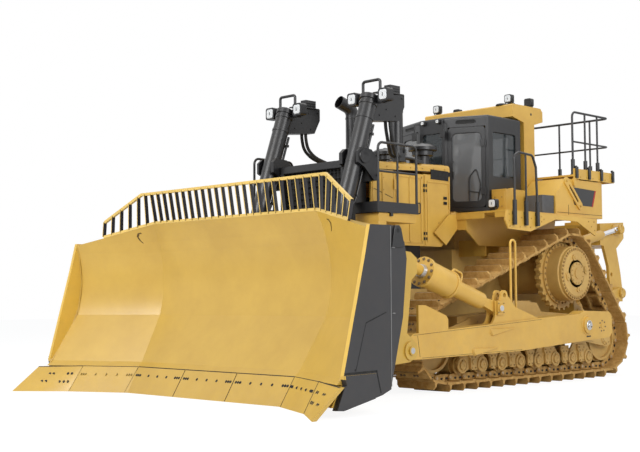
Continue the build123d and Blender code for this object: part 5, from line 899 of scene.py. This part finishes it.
def build_edges():
    dark = Build()
    wing_length = (END_BIT_X - BEND_X) / cos(WING)
    segments = [
        (-BEND_X, -BEND_X / 3), (-BEND_X / 3, BEND_X / 3), (BEND_X / 3, BEND_X),
        (BEND_X, BEND_X + wing_length), (-BEND_X - wing_length, -BEND_X),
    ]

    def strip(a, b, width):
        """A thin dark line between two places on the edge"""
        normal = edge_normal((a[0] + b[0]) / 2)
        p, q = edge_point(*a), edge_point(*b)
        aside = (q - p).normalized().cross(normal) * width / 2
        dark.slab([p - aside, q - aside, q + aside, p + aside], normal * 0.0015)

    for low, high in segments:
        span = high - low
        normal = edge_normal((low + high) / 2)
        for share in BOLT_SHARES:
            place = edge_point(low + span * share, 0.135)
            dark.turned(place, normal, [(0, 0.021), (0.0015, 0.021), (0.0018, 0.015), (0.0008, 0.012)], 12)
        strip((high - 0.001, 0.004), (high - 0.001, EDGE_DROP - 0.004), 0.01)
        strip((low + 0.001, 0.004), (low + 0.001, EDGE_DROP - 0.004), 0.01)
        strip((low + 0.004, 0.0), (high - 0.004, 0.0), 0.012)
    for side in SIDES.values():
        corner, far = end_bit_point(side, 0, 0), end_bit_point(side, 1, 0)
        normal = (far - corner).cross(end_bit_point(side, 0, 1) - corner).normalized()
        if normal.y > 0:
            normal = -normal
        for out, down in END_BIT_BOLTS:
            place = end_bit_point(side, out, down)
            dark.turned(place, normal, [(0, 0.022), (0.002, 0.022), (0.002, 0.014), (0.001, 0.012)], 12)
        aside = (far - corner).normalized().cross(normal) * 0.006
        dark.slab([corner - aside, far - aside, far + aside, corner + aside], normal * 0.0015)
    dark.make("edge_seams", "core", "blade")


def board_point(x, z, lift=0.0):
    """A place on the moldboard's face, lifted a little towards the front"""
    side = 1 if x >= 0 else -1
    depth = board_depth(z)
    place = Vector((x, wing_y(abs(x), depth), z))
    if abs(x) > BEND_X + depth * tan(WING / 2):
        return place + Vector((side * sin(WING), -cos(WING), 0)) * lift
    return place + Vector((0, -1, 0)) * lift


def build_board():
    dark, edge = Build(), Build()
    for side in SIDES.values():
        # a lifting eye's bent slot near each wing's top, drawn as a dark slab: painted shade in the slot
        line = [(1.985, 2.34), (2.03, 2.33), (2.062, 2.285), (2.04, 2.225), (2.01, 2.19)]
        outer = [board_point(side * x, z, -0.004) for x, z in line]
        inner = [board_point(side * (x - 0.018), z - 0.01, -0.004) for x, z in reversed(line)]
        lift = board_point(side * 2.03, 2.28, 0.012) - board_point(side * 2.03, 2.28)
        dark.slab(outer + inner, lift)
        # weld bead where the moldboard meets the end plate
        bead = [board_point(side * 3.052, z, 0.004) for z in (0.4, 0.8, 1.2, 1.6, 2.0, 2.15)]
        edge.tube(bead, 0.009, 8)
    dark.make("board_slot_shades", "shadow_yellow", "blade")
    edge.make("board_welds", "blade", "blade")


# (start, end, width, height) of the end plates' seams
PLATE_SEAMS = (
    ((-3.985, 1.172), (-4.333, 1.053), 0.014, 0.002), ((-4.333, 1.053), (-4.51, 0.5), 0.006, 0.002),
    ((-4.7, 0.482), (-4.15, 0.492), 0.022, 0.003), ((-4.16, 0.5), (-4.085, 0.235), 0.014, 0.003),
)
PLATE_LUG = ((-3.88, 1.94), (-3.835, 2.165), (-3.8, 2.205), (-3.745, 2.205), (-3.71, 2.165), (-3.65, 1.94))


def build_end_plates():
    seams, trim, lugs = Build(), Build(), Build()
    for side in SIDES.values():
        x, out = side * PLATE_X, (side, 0, 0)
        for start, end, width, lift in PLATE_SEAMS:
            seams.strip(start, end, width, x, side * lift)
        trim.strip((-3.9, 2.19), (-3.9, 0.3), 0.012, x, side * 0.003)
        seams.disc((x, -4.515, 0.52), out, 0.014, 0.003, 10)
        # lifting lug on the rear plate
        rear = x - side * 0.015
        lugs.plate_x(PLATE_LUG, rear, rear + side * 0.024)
        # painted shade: a dark disc stands for the lug's hole
        seams.disc((rear + side * 0.024, -3.772, 2.14), out, 0.027, 0.002, 16)
        for z in (1.93, 1.15, 0.42):
            trim.box(x - side * 0.012, x + side * 0.003, -3.872, -3.822, z, z + 0.014)
        # steel foot behind the end bit
        foot = [(-4.68, 0.35), (-4.56, 0.35), (-4.8, 0.09), (-4.826, 0.09)]
        lugs.plate_x(foot, x + side * 0.001, x + side * 0.02)
    seams.make("end_plate_seams_and_shade", "core", "blade")
    trim.make("end_plate_trim", "grey", "blade")
    lugs.make("end_plate_lugs", "charcoal", "blade", edge=0.004)


# -------------------- lift cylinders: lamps, pipes, hoses and yokes


def lamp_lens(build, x, y, z, size, aim):
    """A pale lens with a small dark bulb, before a square lamp; `aim` is -1 for one that looks forward"""
    ring = rounded_ring(-size / 2, size / 2, -size / 2, size / 2, size * 0.22, 4)
    build.look = 0
    build.loft([
        [(x + a * share, y + aim * lift, z + b * share) for a, b in ring]
        for lift, share in ((0, 1), (0.004, 1), (0.01, 0.9))
    ])
    build.look = 1
    bulb, tall = size * 0.05, size * 0.17
    build.box(x - bulb, x + bulb, y + aim * 0.009, y + aim * 0.012, z - tall, z + tall, 0.0005)


# (distance down the barrel, radius) of its bands
BARREL_BANDS = ((0.1, 0.137), (0.33, 0.134), (1.9, 0.138))
HEAD_PROFILE = ((0, 0.128), (0.02, 0.118), (0.03, 0.07), (0.045, 0.06), (0.045, 0.02))
HOSE_BOX_BOLTS = ((-1.7, 4.24), (-1.45, 4.27), (-1.25, 4.3), (-1.4, 4.02), (-1.75, 4.0), (-1.6, 4.1))
YOKE_BOLTS = ((-2.24, 3.31), (-2.2, 3.44), (-1.92, 3.38), (-1.92, 3.1))


def build_cylinder(side, name):
    body = f"lift_barrel_{name}"
    lens, pipes, bolts, hoses, manifold, yoke = (Build() for _ in range(6))
    x = side * LIFT_X
    head = Vector((x, *LIFT_HEAD))
    for edge in (-1, 1):
        lamp_lens(lens, x + edge * 0.31, -1.919, 4.26, 0.14, -1)
        # oil pipes down the barrel's rear, and lamp brackets
        foot = head + Vector((edge * 0.075, 0, 0)) + LIFT_BACK * 0.128
        low = foot + LIFT_WAY * 1.67 - LIFT_BACK * 0.03
        pipes.tube([foot + LIFT_WAY * 0.4, foot + LIFT_WAY * 1.58, low], 0.019, 10, 0.05)
        pipes.box(x + edge * 0.2, x + edge * 0.23, -1.83, -1.74, 4.16, 4.27)
    for distance in (0.55, 1.05, 1.52):
        clamp = head + LIFT_WAY * distance + LIFT_BACK * 0.132
        pipes.box(x - 0.105, x + 0.105, clamp.y - 0.018, clamp.y + 0.026, clamp.z - 0.02, clamp.z + 0.02)
    for distance, radius in BARREL_BANDS:
        profile = ((0, radius - 0.012), (0.004, radius), (0.04, radius), (0.044, radius - 0.012))
        pipes.turned(head + LIFT_WAY * distance, LIFT_WAY, profile, 28, True)
    pipes.turned(head, -LIFT_WAY, HEAD_PROFILE, 28)
    bolts.bolt(-LIFT_WAY, 0.012, *ring_of(head - LIFT_WAY * 0.008, -LIFT_WAY, 0.098, 8))
    # the hose box's lid, ribs and side bolts
    pipes.box(x - 0.098, x + 0.098, -1.7, -1.215, 4.352, 4.368)
    for edge in (-1, 1):
        bolts.bolt((edge, 0, 0), 0.012, *((x + edge * 0.09, y, z) for y, z in HOSE_BOX_BOLTS))
        for k in range(3):
            pipes.box(x + edge * 0.06, x + edge * 0.068, -1.47, -1.27, 4.36 + k * 0.038, 4.378 + k * 0.038)
    lens.make(f"cylinder_lenses_{name}", "lens core", body)
    pipes.make(f"cylinder_pipes_{name}", "charcoal", body, edge=0.003)
    bolts.make(f"cylinder_bolts_{name}", "charcoal", body)

    # hoses from the box down to the manifold on the hood
    for edge in (-1, 1):
        hx = x + edge * 0.045
        mx = side * 0.735 + edge * 0.045
        hoses.tube([
            (hx, -1.48, 3.99), (hx, -1.47, 3.85), (hx * 0.98 + mx * 0.02, -1.43, 3.7),
            (hx * 0.6 + mx * 0.4, -1.33, 3.57), (mx, -1.18, 3.49), (mx, -1.06, 3.47),
        ], 0.026, 12, 0.14, 8)
    piece = hoses.make(f"cylinder_hoses_{name}", "rubber")
    piece.parent = None
    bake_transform(piece)
    manifold.box(side * 0.655, side * 0.795, -1.1, -0.96, 3.395, 3.52)
    for edge in (-1, 1):
        mx = side * 0.725 + edge * 0.035
        manifold.tube([(mx, -0.97, 3.47), (mx, -0.76, 3.462), (mx, -0.64, 3.44)], 0.021, 10, 0.05)
        manifold.turned((mx, -1.115, 3.473), (0, 1, 0), [(0, 0.024), (0.02, 0.033), (0.06, 0.033)], 6)
    manifold.box(side * 0.64, side * 0.795, -0.7, -0.56, 3.402, 3.45)
    manifold.make(f"hose_manifold_{name}", "charcoal", edge=0.003)

    out = Vector((side, 0, 0))
    place = Vector((side * 1.08, *LIFT_PIVOT))
    yoke.turned(place, out, [(0, 0.105), (0.018, 0.1), (0.022, 0.07), (0.014, 0.05)], 24)
    yoke.bolt(out, 0.01, *ring_of(place + out * 0.01, out, 0.083, 6))
    yoke.bolt(out, 0.014, *((side * 1.08, y, z) for y, z in YOKE_BOLTS))
    yoke.make(f"yoke_caps_{name}", "charcoal")


# -------------------- hood, sides and platforms


# (start, end, width, height) of the raised strips and of the seams on a side
SIDE_STRIPS = (
    ((-1.7, 2.16), (-1.7, 3.19), 0.03, 0.01), ((-1.48, 2.16), (-1.48, 3.19), 0.05, 0.014),
    ((-0.52, 2.15), (-0.52, 3.215), 0.035, 0.012), ((-0.47, 3.13), (0.05, 3.13), 0.026, 0.01),
    ((-0.47, 2.19), (-0.47, 3.13), 0.012, 0.008), ((0.055, 2.72), (0.055, 3.215), 0.03, 0.012),
    ((-0.13, 2.15), (0.06, 2.69), 0.02, 0.01),
)
SIDE_SEAMS = (
    ((-1.72, 2.96), (-1.27, 2.83), 0.01, 0.0015), ((-1.73, 3.236), (0.07, 3.3), 0.009, 0.0015),
)
LATCHES = ((-0.53, 3.024), (-0.53, 2.284), (-0.045, 2.854), (-1.5, 2.5))
SIDE_BOLTS = ((-1.6, 2.7), (-1.6, 2.6), (-0.3, 2.3), (-0.2, 2.5), (-0.6, 2.2))
STACK_X, STACK_Y = 0.471, -0.806
AIR_INTAKE = (0.4, -0.1)


def build_sides(side, name):
    trim, dark, bolts, door, grip, step, treads = (Build() for _ in range(7))
    face = side * SIDE_X
    out = (side, 0, 0)
    for build, strips in ((trim, SIDE_STRIPS), (dark, SIDE_SEAMS)):
        for start, end, width, lift in strips:
            build.strip(start, end, width, face, side * lift)
    # blank dark plate near the hood's rear, and pairs of latches
    plate = ((-0.385, 3.175), (0.045, 3.168), (0.045, 3.318), (-0.385, 3.325))
    dark.plate_x(plate, face, face + side * 0.009)
    for y, z in LATCHES:
        for up in (-0.04, 0.04):
            for along in (-0.022, 0.022):
                a, b = y + along, z + up
                dark.box(face, face + side * 0.018, a - 0.015, a + 0.015, b - 0.022, b + 0.022)
    for y in (-1.7, -1.48):
        bolts.bolt(out, 0.01, *((face + side * 0.011, y, 2.22 + k * 0.18) for k in range(6)))
    bolts.bolt(out, 0.011, *((face, -1.66 + k * 0.27, 3.285 + k * 0.0095) for k in range(7)))
    bolts.bolt(out, 0.01, *((face, y, z) for y, z in SIDE_BOLTS))
    trim.make(f"side_trim_{name}", "yellow", edge=0.003)
    dark.make(f"side_latches_{name}", "core")
    bolts.make(f"side_bolts_{name}", "yellow_bolt")

    body = f"engine_door_{name}"
    raised = face + side * 0.012
    for z in (2.17, 3.16):
        door.box(face, raised, -1.2, -0.6, z, z + 0.03)
    for y in (-1.2, -0.9, -0.63):
        door.box(face, raised, y, y + 0.03, 2.17, 3.19)
    door.make(f"engine_door_trim_{name}", "yellow", body, edge=0.003)
    grip_x = face + side * 0.05
    loop = [(face, -0.7, 2.62), (grip_x, -0.7, 2.62), (grip_x, -0.7, 2.78), (face, -0.7, 2.78)]
    grip.tube(loop, 0.01, 10, 0.02)
    grip.make(f"engine_door_grip_{name}", "plastic", body)

    # yellow step box under the front platform, and the platform's tread plate
    step.box(side * 0.84, side * 1.3, -2.12, -1.33, 2.42, 2.545)
    step.box(side * 0.84, side * 1.3, -2.12, -1.96, 2.25, 2.42)
    for k in range(14):
        y = -2.13 + k * 0.058
        for j in range(4):
            treads.box(side * (0.9 + j * 0.1), side * (0.96 + j * 0.1), y, y + 0.03, 2.63, 2.638, 0.002)
    step.make(f"step_box_{name}", "yellow", edge=0.01)
    treads.make(f"step_treads_{name}", "charcoal")


def build_hood():
    dark, bolts, trim, bands = Build(), Build(), Build(), Build()

    def top(y):
        return 3.35 + (y + 1.74) / 1.82 * 0.07

    def sheet(build, x0, x1, y0, y1, drop, height):
        """A low plate that follows the hood's slope"""
        corners = ((x0, y0), (x1, y0), (x1, y1), (x0, y1))
        build.slab([(x, y, top(y) - drop) for x, y in corners], (0, 0, height))

    for x0, x1 in ((-0.74, -0.66), (0.66, 0.74)):
        sheet(trim, x0, x1, -1.7, 0.02, 0.001, 0.008)
    for y in (-1.2, -0.45):
        sheet(dark, -0.72, 0.72, y, y + 0.01, 0, 0.0015)
    for side in SIDES.values():
        for k in range(9):
            y = -1.62 + k * 0.2
            bolts.bolt(UP, 0.01, (side * 0.7, y, top(y) + 0.006))
        bolts.bolt(UP, 0.01, *ring_of((side * STACK_X, STACK_Y, 3.455), UP, 0.128, 8))
    coolant_cap = ((0, 0.075), (0.03, 0.075), (0.036, 0.068), (0.036, 0.02))
    trim.turned((0, -1.45, top(-1.45) - 0.002), UP, coolant_cap, 24)
    trim.make("hood_trim", "yellow", edge=0.003)
    dark.make("hood_seams", "core")
    bolts.make("hood_bolts", "yellow_bolt")
    # clamps of the stacks and of the air intakes
    for side in SIDES.values():
        x = side * STACK_X
        for z in (3.62, 4.2):
            profile = ((0, 0.105), (0.003, 0.111), (0.032, 0.111), (0.035, 0.105))
            bands.turned((x, STACK_Y, z), UP, profile, 32)
            bands.box(x - 0.02, x + 0.02, STACK_Y + 0.105, STACK_Y + 0.135, z, z + 0.035)
        x, y = side * AIR_INTAKE[0], AIR_INTAKE[1]
        bands.turned((x, y, 3.56), UP, [(0, 0.108), (0.003, 0.118), (0.026, 0.118), (0.029, 0.108)], 28)
        bands.turned((x, y, 3.779), UP, [(0, 0.05), (0.01, 0.045), (0.022, 0.02)], 20)
    bands.make("stack_bands", "charcoal")


def build_guard():
    """Bolts and blank frame of the radiator guard, and the grille's bars"""
    plate, bars, bolts = Build(), Build(), Build()
    for x in (-0.655, 0.655):
        bolts.bolt((0, -1, 0), 0.014, *((x, -2.18, 1.1 + k * 0.235) for k in range(10)))
    plate.box(-0.64, 0.64, -2.192, -2.18, 3.235, 3.325)
    for k in range(15):
        x = -0.56 + k * 0.08
        bars.box(x - 0.006, x + 0.006, -2.105, -2.095, 1.165, 3.225, 0.002)
    for z in (1.7, 2.4):
        bars.box(-0.605, 0.605, -2.125, -2.09, z, z + 0.04)
    plate.make("guard_plate", "charcoal", edge=0.005)
    bars.make("guard_bars", "charcoal")
    bolts.make("guard_bolts", "charcoal")


# -------------------- cab

DOOR_TURN = atan2(0.283, 0.68)


def build_cab(side, name):
    dark, trim, seal, handle, mirror, lens = (Build() for _ in range(6))
    corner = Vector((side * 0.95, 0.903, 2.74))
    along = Vector((-side * cos(DOOR_TURN), -sin(DOOR_TURN), 0))
    out = Vector((side * sin(DOOR_TURN), -cos(DOOR_TURN), 0))

    def at(a, z, depth=0.0):
        return corner + along * a + UP * z + out * depth

    # recessed slot in the roof's edge above the door; its dark sheet is painted shade in the recess
    ring = [
        (a + 0.026 * cos(start + k * pi / 6), 1.475 + 0.026 * sin(start + k * pi / 6))
        for a, start in ((0.24, pi / 2), (0.52, -pi / 2))
        for k in range(7)
    ]
    dark.slab([at(a, z) for a, z in ring], out * 0.003)
    trim.tube([at(a, z, 0.004) for a, z in ring + ring[:1]], 0.006, 8)
    trim.make(f"roof_slot_trim_{name}", "cab")
    dark.make(f"roof_slot_{name}", "core")

    # rubber seal round the door's glass
    body = f"cab_door_{name}"
    ring = rounded_ring(0.116, 0.621, 0.156, 1.294, 0.085, 6)
    seal.tube([at(a, z, -0.012) for a, z in ring + ring[:1]], 0.009, 8)
    # grab rail across the glass: a bent black loop with a bar, then the handle and the lock
    loop = [(0.33, 0.16), (0.33, 0.56), (0.215, 0.7), (0.14, 0.44), (0.19, 0.17)]
    handle.tube([at(a, z, -0.007) for a, z in loop], 0.01, 8, 0.05)
    handle.tube([at(0.33, 0.33, -0.007), at(0.165, 0.3, -0.007)], 0.009, 8)
    loop = ((0.64, 0.002), (0.64, 0.045), (0.82, 0.045), (0.82, 0.002))
    handle.tube([at(0.595, z, depth) for z, depth in loop], 0.01, 8, 0.02)
    lock_y = at(0.6, 0, 0.004).y
    handle.box(at(0.6, 0).x, at(0.585, 0).x, lock_y - 0.01, lock_y + 0.01, 3.27, 3.36)
    seal.make(f"door_seal_{name}", "rubber", body)
    handle.make(f"door_handles_{name}", "plastic", body)

    # mirrors and a marker lamp on the roof's front edge
    x = side * 0.3
    mirror.tube([(side * 0.235, 0.62, 4.24), (x, 0.52, 4.24), (x, 0.52, 4.08)], 0.01, 8, 0.03)
    mirror.box(side * 0.255, side * 0.355, 0.505, 0.53, 3.96, 4.1, 0.006)
    mirror.box(side * 0.12, side * 0.2, 0.56, 0.625, 4.215, 4.275, 0.006)
    lamp_lens(lens, side * 0.16, 0.56, 4.245, 0.05, -1)
    mirror.make(f"cab_mirror_{name}", "plastic", edge=0.003)
    lens.make(f"cab_marker_{name}", "lens core")


def build_cab_front():
    wiper, seals = Build(), Build()
    wiper.tube([(0.05, 0.61, 2.96), (0.05, 0.596, 2.98), (-0.08, 0.596, 3.48)], 0.007, 8, 0.01)
    wiper.box(-0.089, -0.071, 0.588, 0.606, 3.28, 3.88, 0.002)
    wiper.disc((0.05, 0.62, 2.96), (0, -1, 0), 0.025, 0.026, 14)

    def seal(place, *window):
        """A seal round a window, from what places its corners and from its lows and highs along and up"""
        points = [place(a, z) for a, z in rounded_ring(*window, 0.05, 5)]
        seals.tube(points + points[:1], 0.009, 8)

    for side in SIDES.values():
        seal(lambda a, z: (side * 0.942, a, z), 1.013, 1.65, 3.3, 4.04)
    seal(lambda a, z: (a, 0.63, z), -0.215, 0.215, 3.07, 4.06)
    seal(lambda a, z: (a, 1.772, z), -0.73, 0.73, 3.3, 4.04)
    wiper.make("windscreen_wiper", "plastic")
    seals.make("window_seals", "rubber")


# -------------------- operator's seat and controls


def cushion(build, middle, half, lean=0.0, crown=0.35, channels=(), steps=14):
    """A crowned pad: its sides pull in between its corners, and sewn channels cross its face"""
    middle, half = Vector(middle), Vector(half)
    turn = Matrix.Rotation(lean, 3, "X")
    sphere = bmesh.new()
    bmesh.ops.create_cube(sphere, size=2)
    bmesh.ops.subdivide_edges(sphere, edges=sphere.edges[:], cuts=steps, use_grid_fill=True)
    start = len(build.points)
    for vertex in sphere.verts:
        x, y, z = vertex.co
        length = (abs(x) ** 5 + abs(y) ** 5 + abs(z) ** 5) ** 0.2
        x, y, z = x / length, y / length, z / length
        pull = 1 - 0.035 * (1 - min(1, abs(x * y) * 1.6))
        x, y = x * pull, y * pull
        z *= 1 - crown * (x * x + y * y) * 0.35
        for place in channels:
            z -= 0.16 * copysign(1, z) * exp(-((y - place) / 0.045) ** 2) * (abs(z) > 0.3)
        build.points.append(middle + turn @ Vector((x * half.x, y * half.y, z * half.z)))
    for face in sphere.faces:
        build.face(*(start + vertex.index for vertex in face.verts))
    sphere.free()


def build_seat():
    low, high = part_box("operator_seat")
    pads, base = Build(), Build()
    cushion_z = low.z + 0.4
    cushion(pads, (0, 1.36, cushion_z), (0.27, 0.23, 0.066), radians(2), channels=(-0.35, 0.35))
    back_z = cushion_z + 0.385
    cushion(pads, (0, 1.6, back_z), (0.25, 0.3, 0.055), radians(86), channels=(-0.45, 0.0, 0.45))
    for side in SIDES.values():
        cushion(pads, (side * 0.332, 1.37, low.z + 0.59), (0.048, 0.185, 0.028), 0.0, 0.2, steps=8)
    # (half width, front, rear, bottom, top) of the base's blocks and of its bellows
    blocks = [
        (0.175, 1.215, 1.515, 0.05, 0.25), (0.21, 1.18, 1.55, 0.0, 0.05), (0.23, 1.17, 1.56, 0.25, 0.33),
    ]
    blocks += [(0.182, 1.208, 1.522, 0.07 + k * 0.036, 0.07 + k * 0.036 + 0.02) for k in range(5)]
    for half, front, rear, bottom, top in blocks:
        base.box(-half, half, front, rear, low.z + bottom, low.z + top, 0.02)
    for side in SIDES.values():
        x = side * 0.33
        base.box(side * 0.29, side * 0.38, 1.19, 1.55, low.z + 0.38, low.z + 0.56, 0.02)
        base.tube([(x, 1.215, low.z + 0.6), (x, 1.2, high.z - 0.48)], 0.012, 10)
        knob = ((0, 0.014), (0.03, 0.026), (0.06, 0.026), (0.075, 0.012))
        base.turned((x, 1.2, high.z - 0.5), UP, knob, 16)
    cloth = pads.make("seat_pads", "fabric", smooth_angle=60)
    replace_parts(cloth, "operator_seat")
    base.make("seat_base", "plastic", edge=0.004)


def build_dash():
    low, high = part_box("dash_console")
    dials, levers = Build(), Build()
    way = Vector((0, 0.62, 0.78))
    for x in (-0.1, 0.0, 0.1):
        place = Vector((x, 0.812, high.z - 0.045))
        dials.look = 0
        dials.turned(place, way, [(0, 0.042), (0.006, 0.042), (0.006, 0.036)], 20)
        dials.look = 1
        dials.turned(place + way * 0.005, way, [(0, 0.035), (0.002, 0.035)], 20)
    for x in (-0.15, 0.15):
        levers.tube([(x, 0.8, low.z + 0.3), (x, 0.92, low.z + 0.36), (x, 0.95, low.z + 0.46)], 0.009, 8, 0.04)
        knob = ((0, 0.012), (0.02, 0.022), (0.05, 0.022), (0.06, 0.01))
        levers.turned((x, 0.95, low.z + 0.45), UP, knob, 14)
    dials.make("dash_dials", "plastic grey")
    levers.make("dash_levers", "plastic")


# -------------------- lamps, beacon and wiring

# (x, face's y, z, aim) of the work lamps on the machine's left-hand side
WORK_LAMPS = ((0.78, 1.675, 4.682, -1), (0.78, 2.335, 4.682, 1), (1.5, 0.235, 2.785, -1))
BEACON = ((0, 0.1), (0.012, 0.104), (0.028, 0.092), (0.038, 0.05), (0.04, 0.01))


def build_lamps():
    lens, housing, wiring = Build(), Build(), Build()
    for side in SIDES.values():
        for x, y, z, aim in WORK_LAMPS:
            x *= side
            lamp_lens(lens, x, y, z, 0.112, aim)
            back, hinge = y - aim * 0.09, y - aim * 0.045
            for k in range(4):
                low = z - 0.048 + k * 0.028
                high = z - 0.038 + k * 0.028
                housing.box(x - 0.055, x + 0.055, back, back - aim * 0.012, low, high, 0.002)
            bow = ((-0.076, 0), (-0.076, 0.085), (0.076, 0.085), (0.076, 0))
            housing.tube([(x + a, hinge, z - b) for a, b in bow], 0.008, 8, 0.02)
    housing.turned((0.675, 1.65, 4.567), UP, BEACON, 28)
    for side in SIDES.values():
        # plug in the rollover frame's end face, and the lamps' wiring with its clips
        housing.disc((side * 0.95, 2.1, 4.437), (side, 0, 0), 0.022, 0.004)
        x = side * 0.86
        wiring.tube([
            (x, 1.73, 4.605), (x, 1.8, 4.574), (side * 0.9, 2.25, 4.574), (side * 0.925, 2.4, 4.568),
            (side * 0.93, 2.448, 4.5), (side * 0.93, 2.448, 4.35),
        ], 0.007, 8, 0.06)
        for y in (1.86, 2.14):
            x = side * (0.865 + (y - 1.8) * 0.09)
            wiring.box(x - 0.016, x + 0.016, y - 0.008, y + 0.008, 4.567, 4.584, 0.002)
    lens.make("work_lamp_lenses", "lens core")
    housing.make("work_lamp_details", "plastic")
    wiring.make("lamp_wiring", "rubber")


# -------------------- decks, tanks and rear platform

# (y, z) of the bolts on a fender's skirt
SKIRT_BOLTS = (
    (0.2, 2.6), (0.2, 2.5), (0.22, 2.42), (0.48, 2.42), (0.75, 2.42), (0.52, 2.56), (0.78, 2.56),
    (1.05, 2.6), (1.05, 2.52), (1.12, 2.56), (2.4, 2.58), (2.48, 2.5), (2.56, 2.58), (2.58, 2.44),
)


def build_rear(side, name):
    seams, panel, stripe, box, bolts, trim, collars = (Build() for _ in range(7))
    face, out = side * 1.64, (side, 0, 0)
    for build, outline, lift in (
        (panel, ((2.18, 3.16), (2.93, 3.138), (2.83, 2.86), (2.31, 2.866)), 0.006),
        (stripe, ((2.934, 3.137), (2.972, 3.135), (2.87, 2.858), (2.834, 2.859)), 0.006),
        (seams, ((2.13, 2.675), (2.138, 2.675), (2.138, 2.86), (2.13, 2.86)), 0.002),
        (seams, ((1.8, 2.72), (3.15, 2.72), (3.15, 2.726), (1.8, 2.726)), 0.0015),
    ):
        build.plate_x(outline, face, face + side * lift)
    # dark box on the deck ahead of the tank
    box.box(side * 1.27, side * 1.62, 1.43, 1.752, 2.672, 2.985, 0.012)
    box.box(side * 1.3, side * 1.59, 1.422, 1.432, 2.72, 2.94, 0.006)
    box.box(side * 1.43, side * 1.47, 1.412, 1.424, 2.8, 2.85, 0.004)
    # bolts of the fender's skirt and of the deck's front edge
    bolts.bolt(out, 0.011, *((side * 1.85, y, z) for y, z in SKIRT_BOLTS))
    bolts.bolt((0, -1, 0), 0.008, *((side * (0.92 + k * 0.13), 0.2 - k * 0.006, 2.655) for k in range(7)))
    # front edge of the deck, folded down, with the lamp's pocket
    trim.box(side * 0.84, side * 1.395, 0.178, 0.196, 2.56, 2.64)
    trim.box(side * 1.605, side * 1.825, 0.16, 0.178, 2.56, 2.64)
    # anti-slip studs on the deck
    for k in range(10):
        for j in range(3):
            stud = (side * (1.32 + j * 0.16 + 0.08 * (k % 2)), 0.34 + k * 0.105, 2.67)
            bolts.disc(stud, UP, 0.014, 0.004, 8)
    # filler cap on the box beside the cab, and that box's door
    cap = ((0, 0.055), (0.03, 0.055), (0.036, 0.048), (0.036, 0.015))
    trim.turned((side * 1.1, 1.3, 3.08), UP, cap, 20)
    trim.box(side * 0.98, side * 1.225, 0.944, 0.952, 2.72, 3.03)
    corners = ((1.03, 2.8), (1.17, 2.8), (1.03, 2.95), (1.17, 2.95))
    bolts.bolt((0, -1, 0), 0.012, *((side * x, 0.944, z) for x, z in corners))
    # sockets of the rear rails
    for y in (2.32, 2.7, 3.08, 3.44):
        collars.turned((side * 1.62, y, 3.372), UP, [(0, 0.045), (0.012, 0.045), (0.016, 0.036)], 16)
        collars.box(side * 1.68, side * 1.712, y - 0.03, y + 0.03, 3.31, 3.5)
        collars.tube([(side * 1.662, y, 3.5), (side * 1.696, y, 3.5)], 0.02, 10)
    bolts.bolt(out, 0.01, *((side * 1.68, 2.45 + k * 0.19, 3.335) for k in range(6)))
    bolts.bolt(out, 0.016, (side * 1.665, 2.06, 3.25), (side * 1.665, 2.46, 2.85))
    seams.make(f"tank_seams_{name}", "core")
    panel.make(f"tank_panel_{name}", "cab", edge=0.002)
    stripe.make(f"tank_stripe_{name}", "red")
    box.make(f"deck_box_{name}", "grey_box", edge=0.006)
    bolts.make(f"deck_bolts_{name}", "yellow_bolt")
    trim.make(f"deck_trim_{name}", "yellow", edge=0.003)
    collars.make(f"rail_sockets_{name}", "charcoal", edge=0.003)


# -------------------- ripper


def build_ripper():
    caps, holes, bolts, plate = Build(), Build(), Build(), Build()
    for side in SIDES.values():
        out = Vector((side, 0, 0))
        for z in (1.404, 2.594):
            place = Vector((side * 0.95, 4.946, z))
            caps.turned(place, out, [(0, 0.088), (0.012, 0.084), (0.012, 0.05), (0.006, 0.03)], 24)
            bolts.bolt(out, 0.01, *ring_of(place + out * 0.01, out, 0.066, 4, 0.4))
        # dark mouth of the shank's pin hole: a disc of painted shade
        holes.disc((side * 0.053, 4.99, 1.85), out, 0.044, 0.002, 18)
    bolts.bolt((0, 1, 0), 0.018, *((-0.45 + k * 0.3, 5.27, 2.6) for k in range(4)))
    # the shank's pin through the push block, with its handle
    pin = ((0, 0.05), (0.035, 0.055), (0.355, 0.055), (0.39, 0.05))
    caps.turned((-0.195, 4.99, 2.48), (1, 0, 0), pin, 20)
    caps.tube([(0.185, 4.99, 2.48), (0.235, 4.99, 2.48), (0.235, 4.99, 2.56)], 0.012, 8, 0.02)
    caps.make("ripper_pin_caps", "yellow", "ripper_tool")
    holes.make("ripper_hole_shades", "core", "ripper_tool")
    bolts.make("ripper_bolts", "yellow_bolt", "ripper_tool")
    for x in (-0.9, 0.9):
        plate.bolt((0, 1, 0), 0.018, *((x, 3.31, 0.95 + k * 0.22) for k in range(7)))
    plate.bolt((0, 1, 0), 0.018, *((x, 3.31, 2.33) for x in (-0.6, -0.2, 0.2, 0.6)))
    plate.make("ripper_mount_bolts", "yellow_bolt")


# -------------------- all pieces, and the carried-over nodes' looks

for build in (
    build_track, build_undercarriage, build_final_drive, build_arm, build_brace, build_cylinder, build_sides,
    build_cab, build_rear,
):
    for name, side in SIDES.items():
        build(side, name)
for build in (
    build_edges, build_board, build_end_plates, build_hood, build_guard, build_cab_front, build_seat,
    build_dash, build_lamps, build_ripper,
):
    build()

NODE_LOOK = {node: look for look, nodes in NODES_BY_LOOK.items() for node in nodes.split()}
for name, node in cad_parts.items():
    look = M[NODE_LOOK[name.removesuffix("_left").removesuffix("_right")]]
    if not node.material_slots:
        node.data.materials.append(look)
    for slot in node.material_slots:
        slot.link = "OBJECT"
        slot.material = look
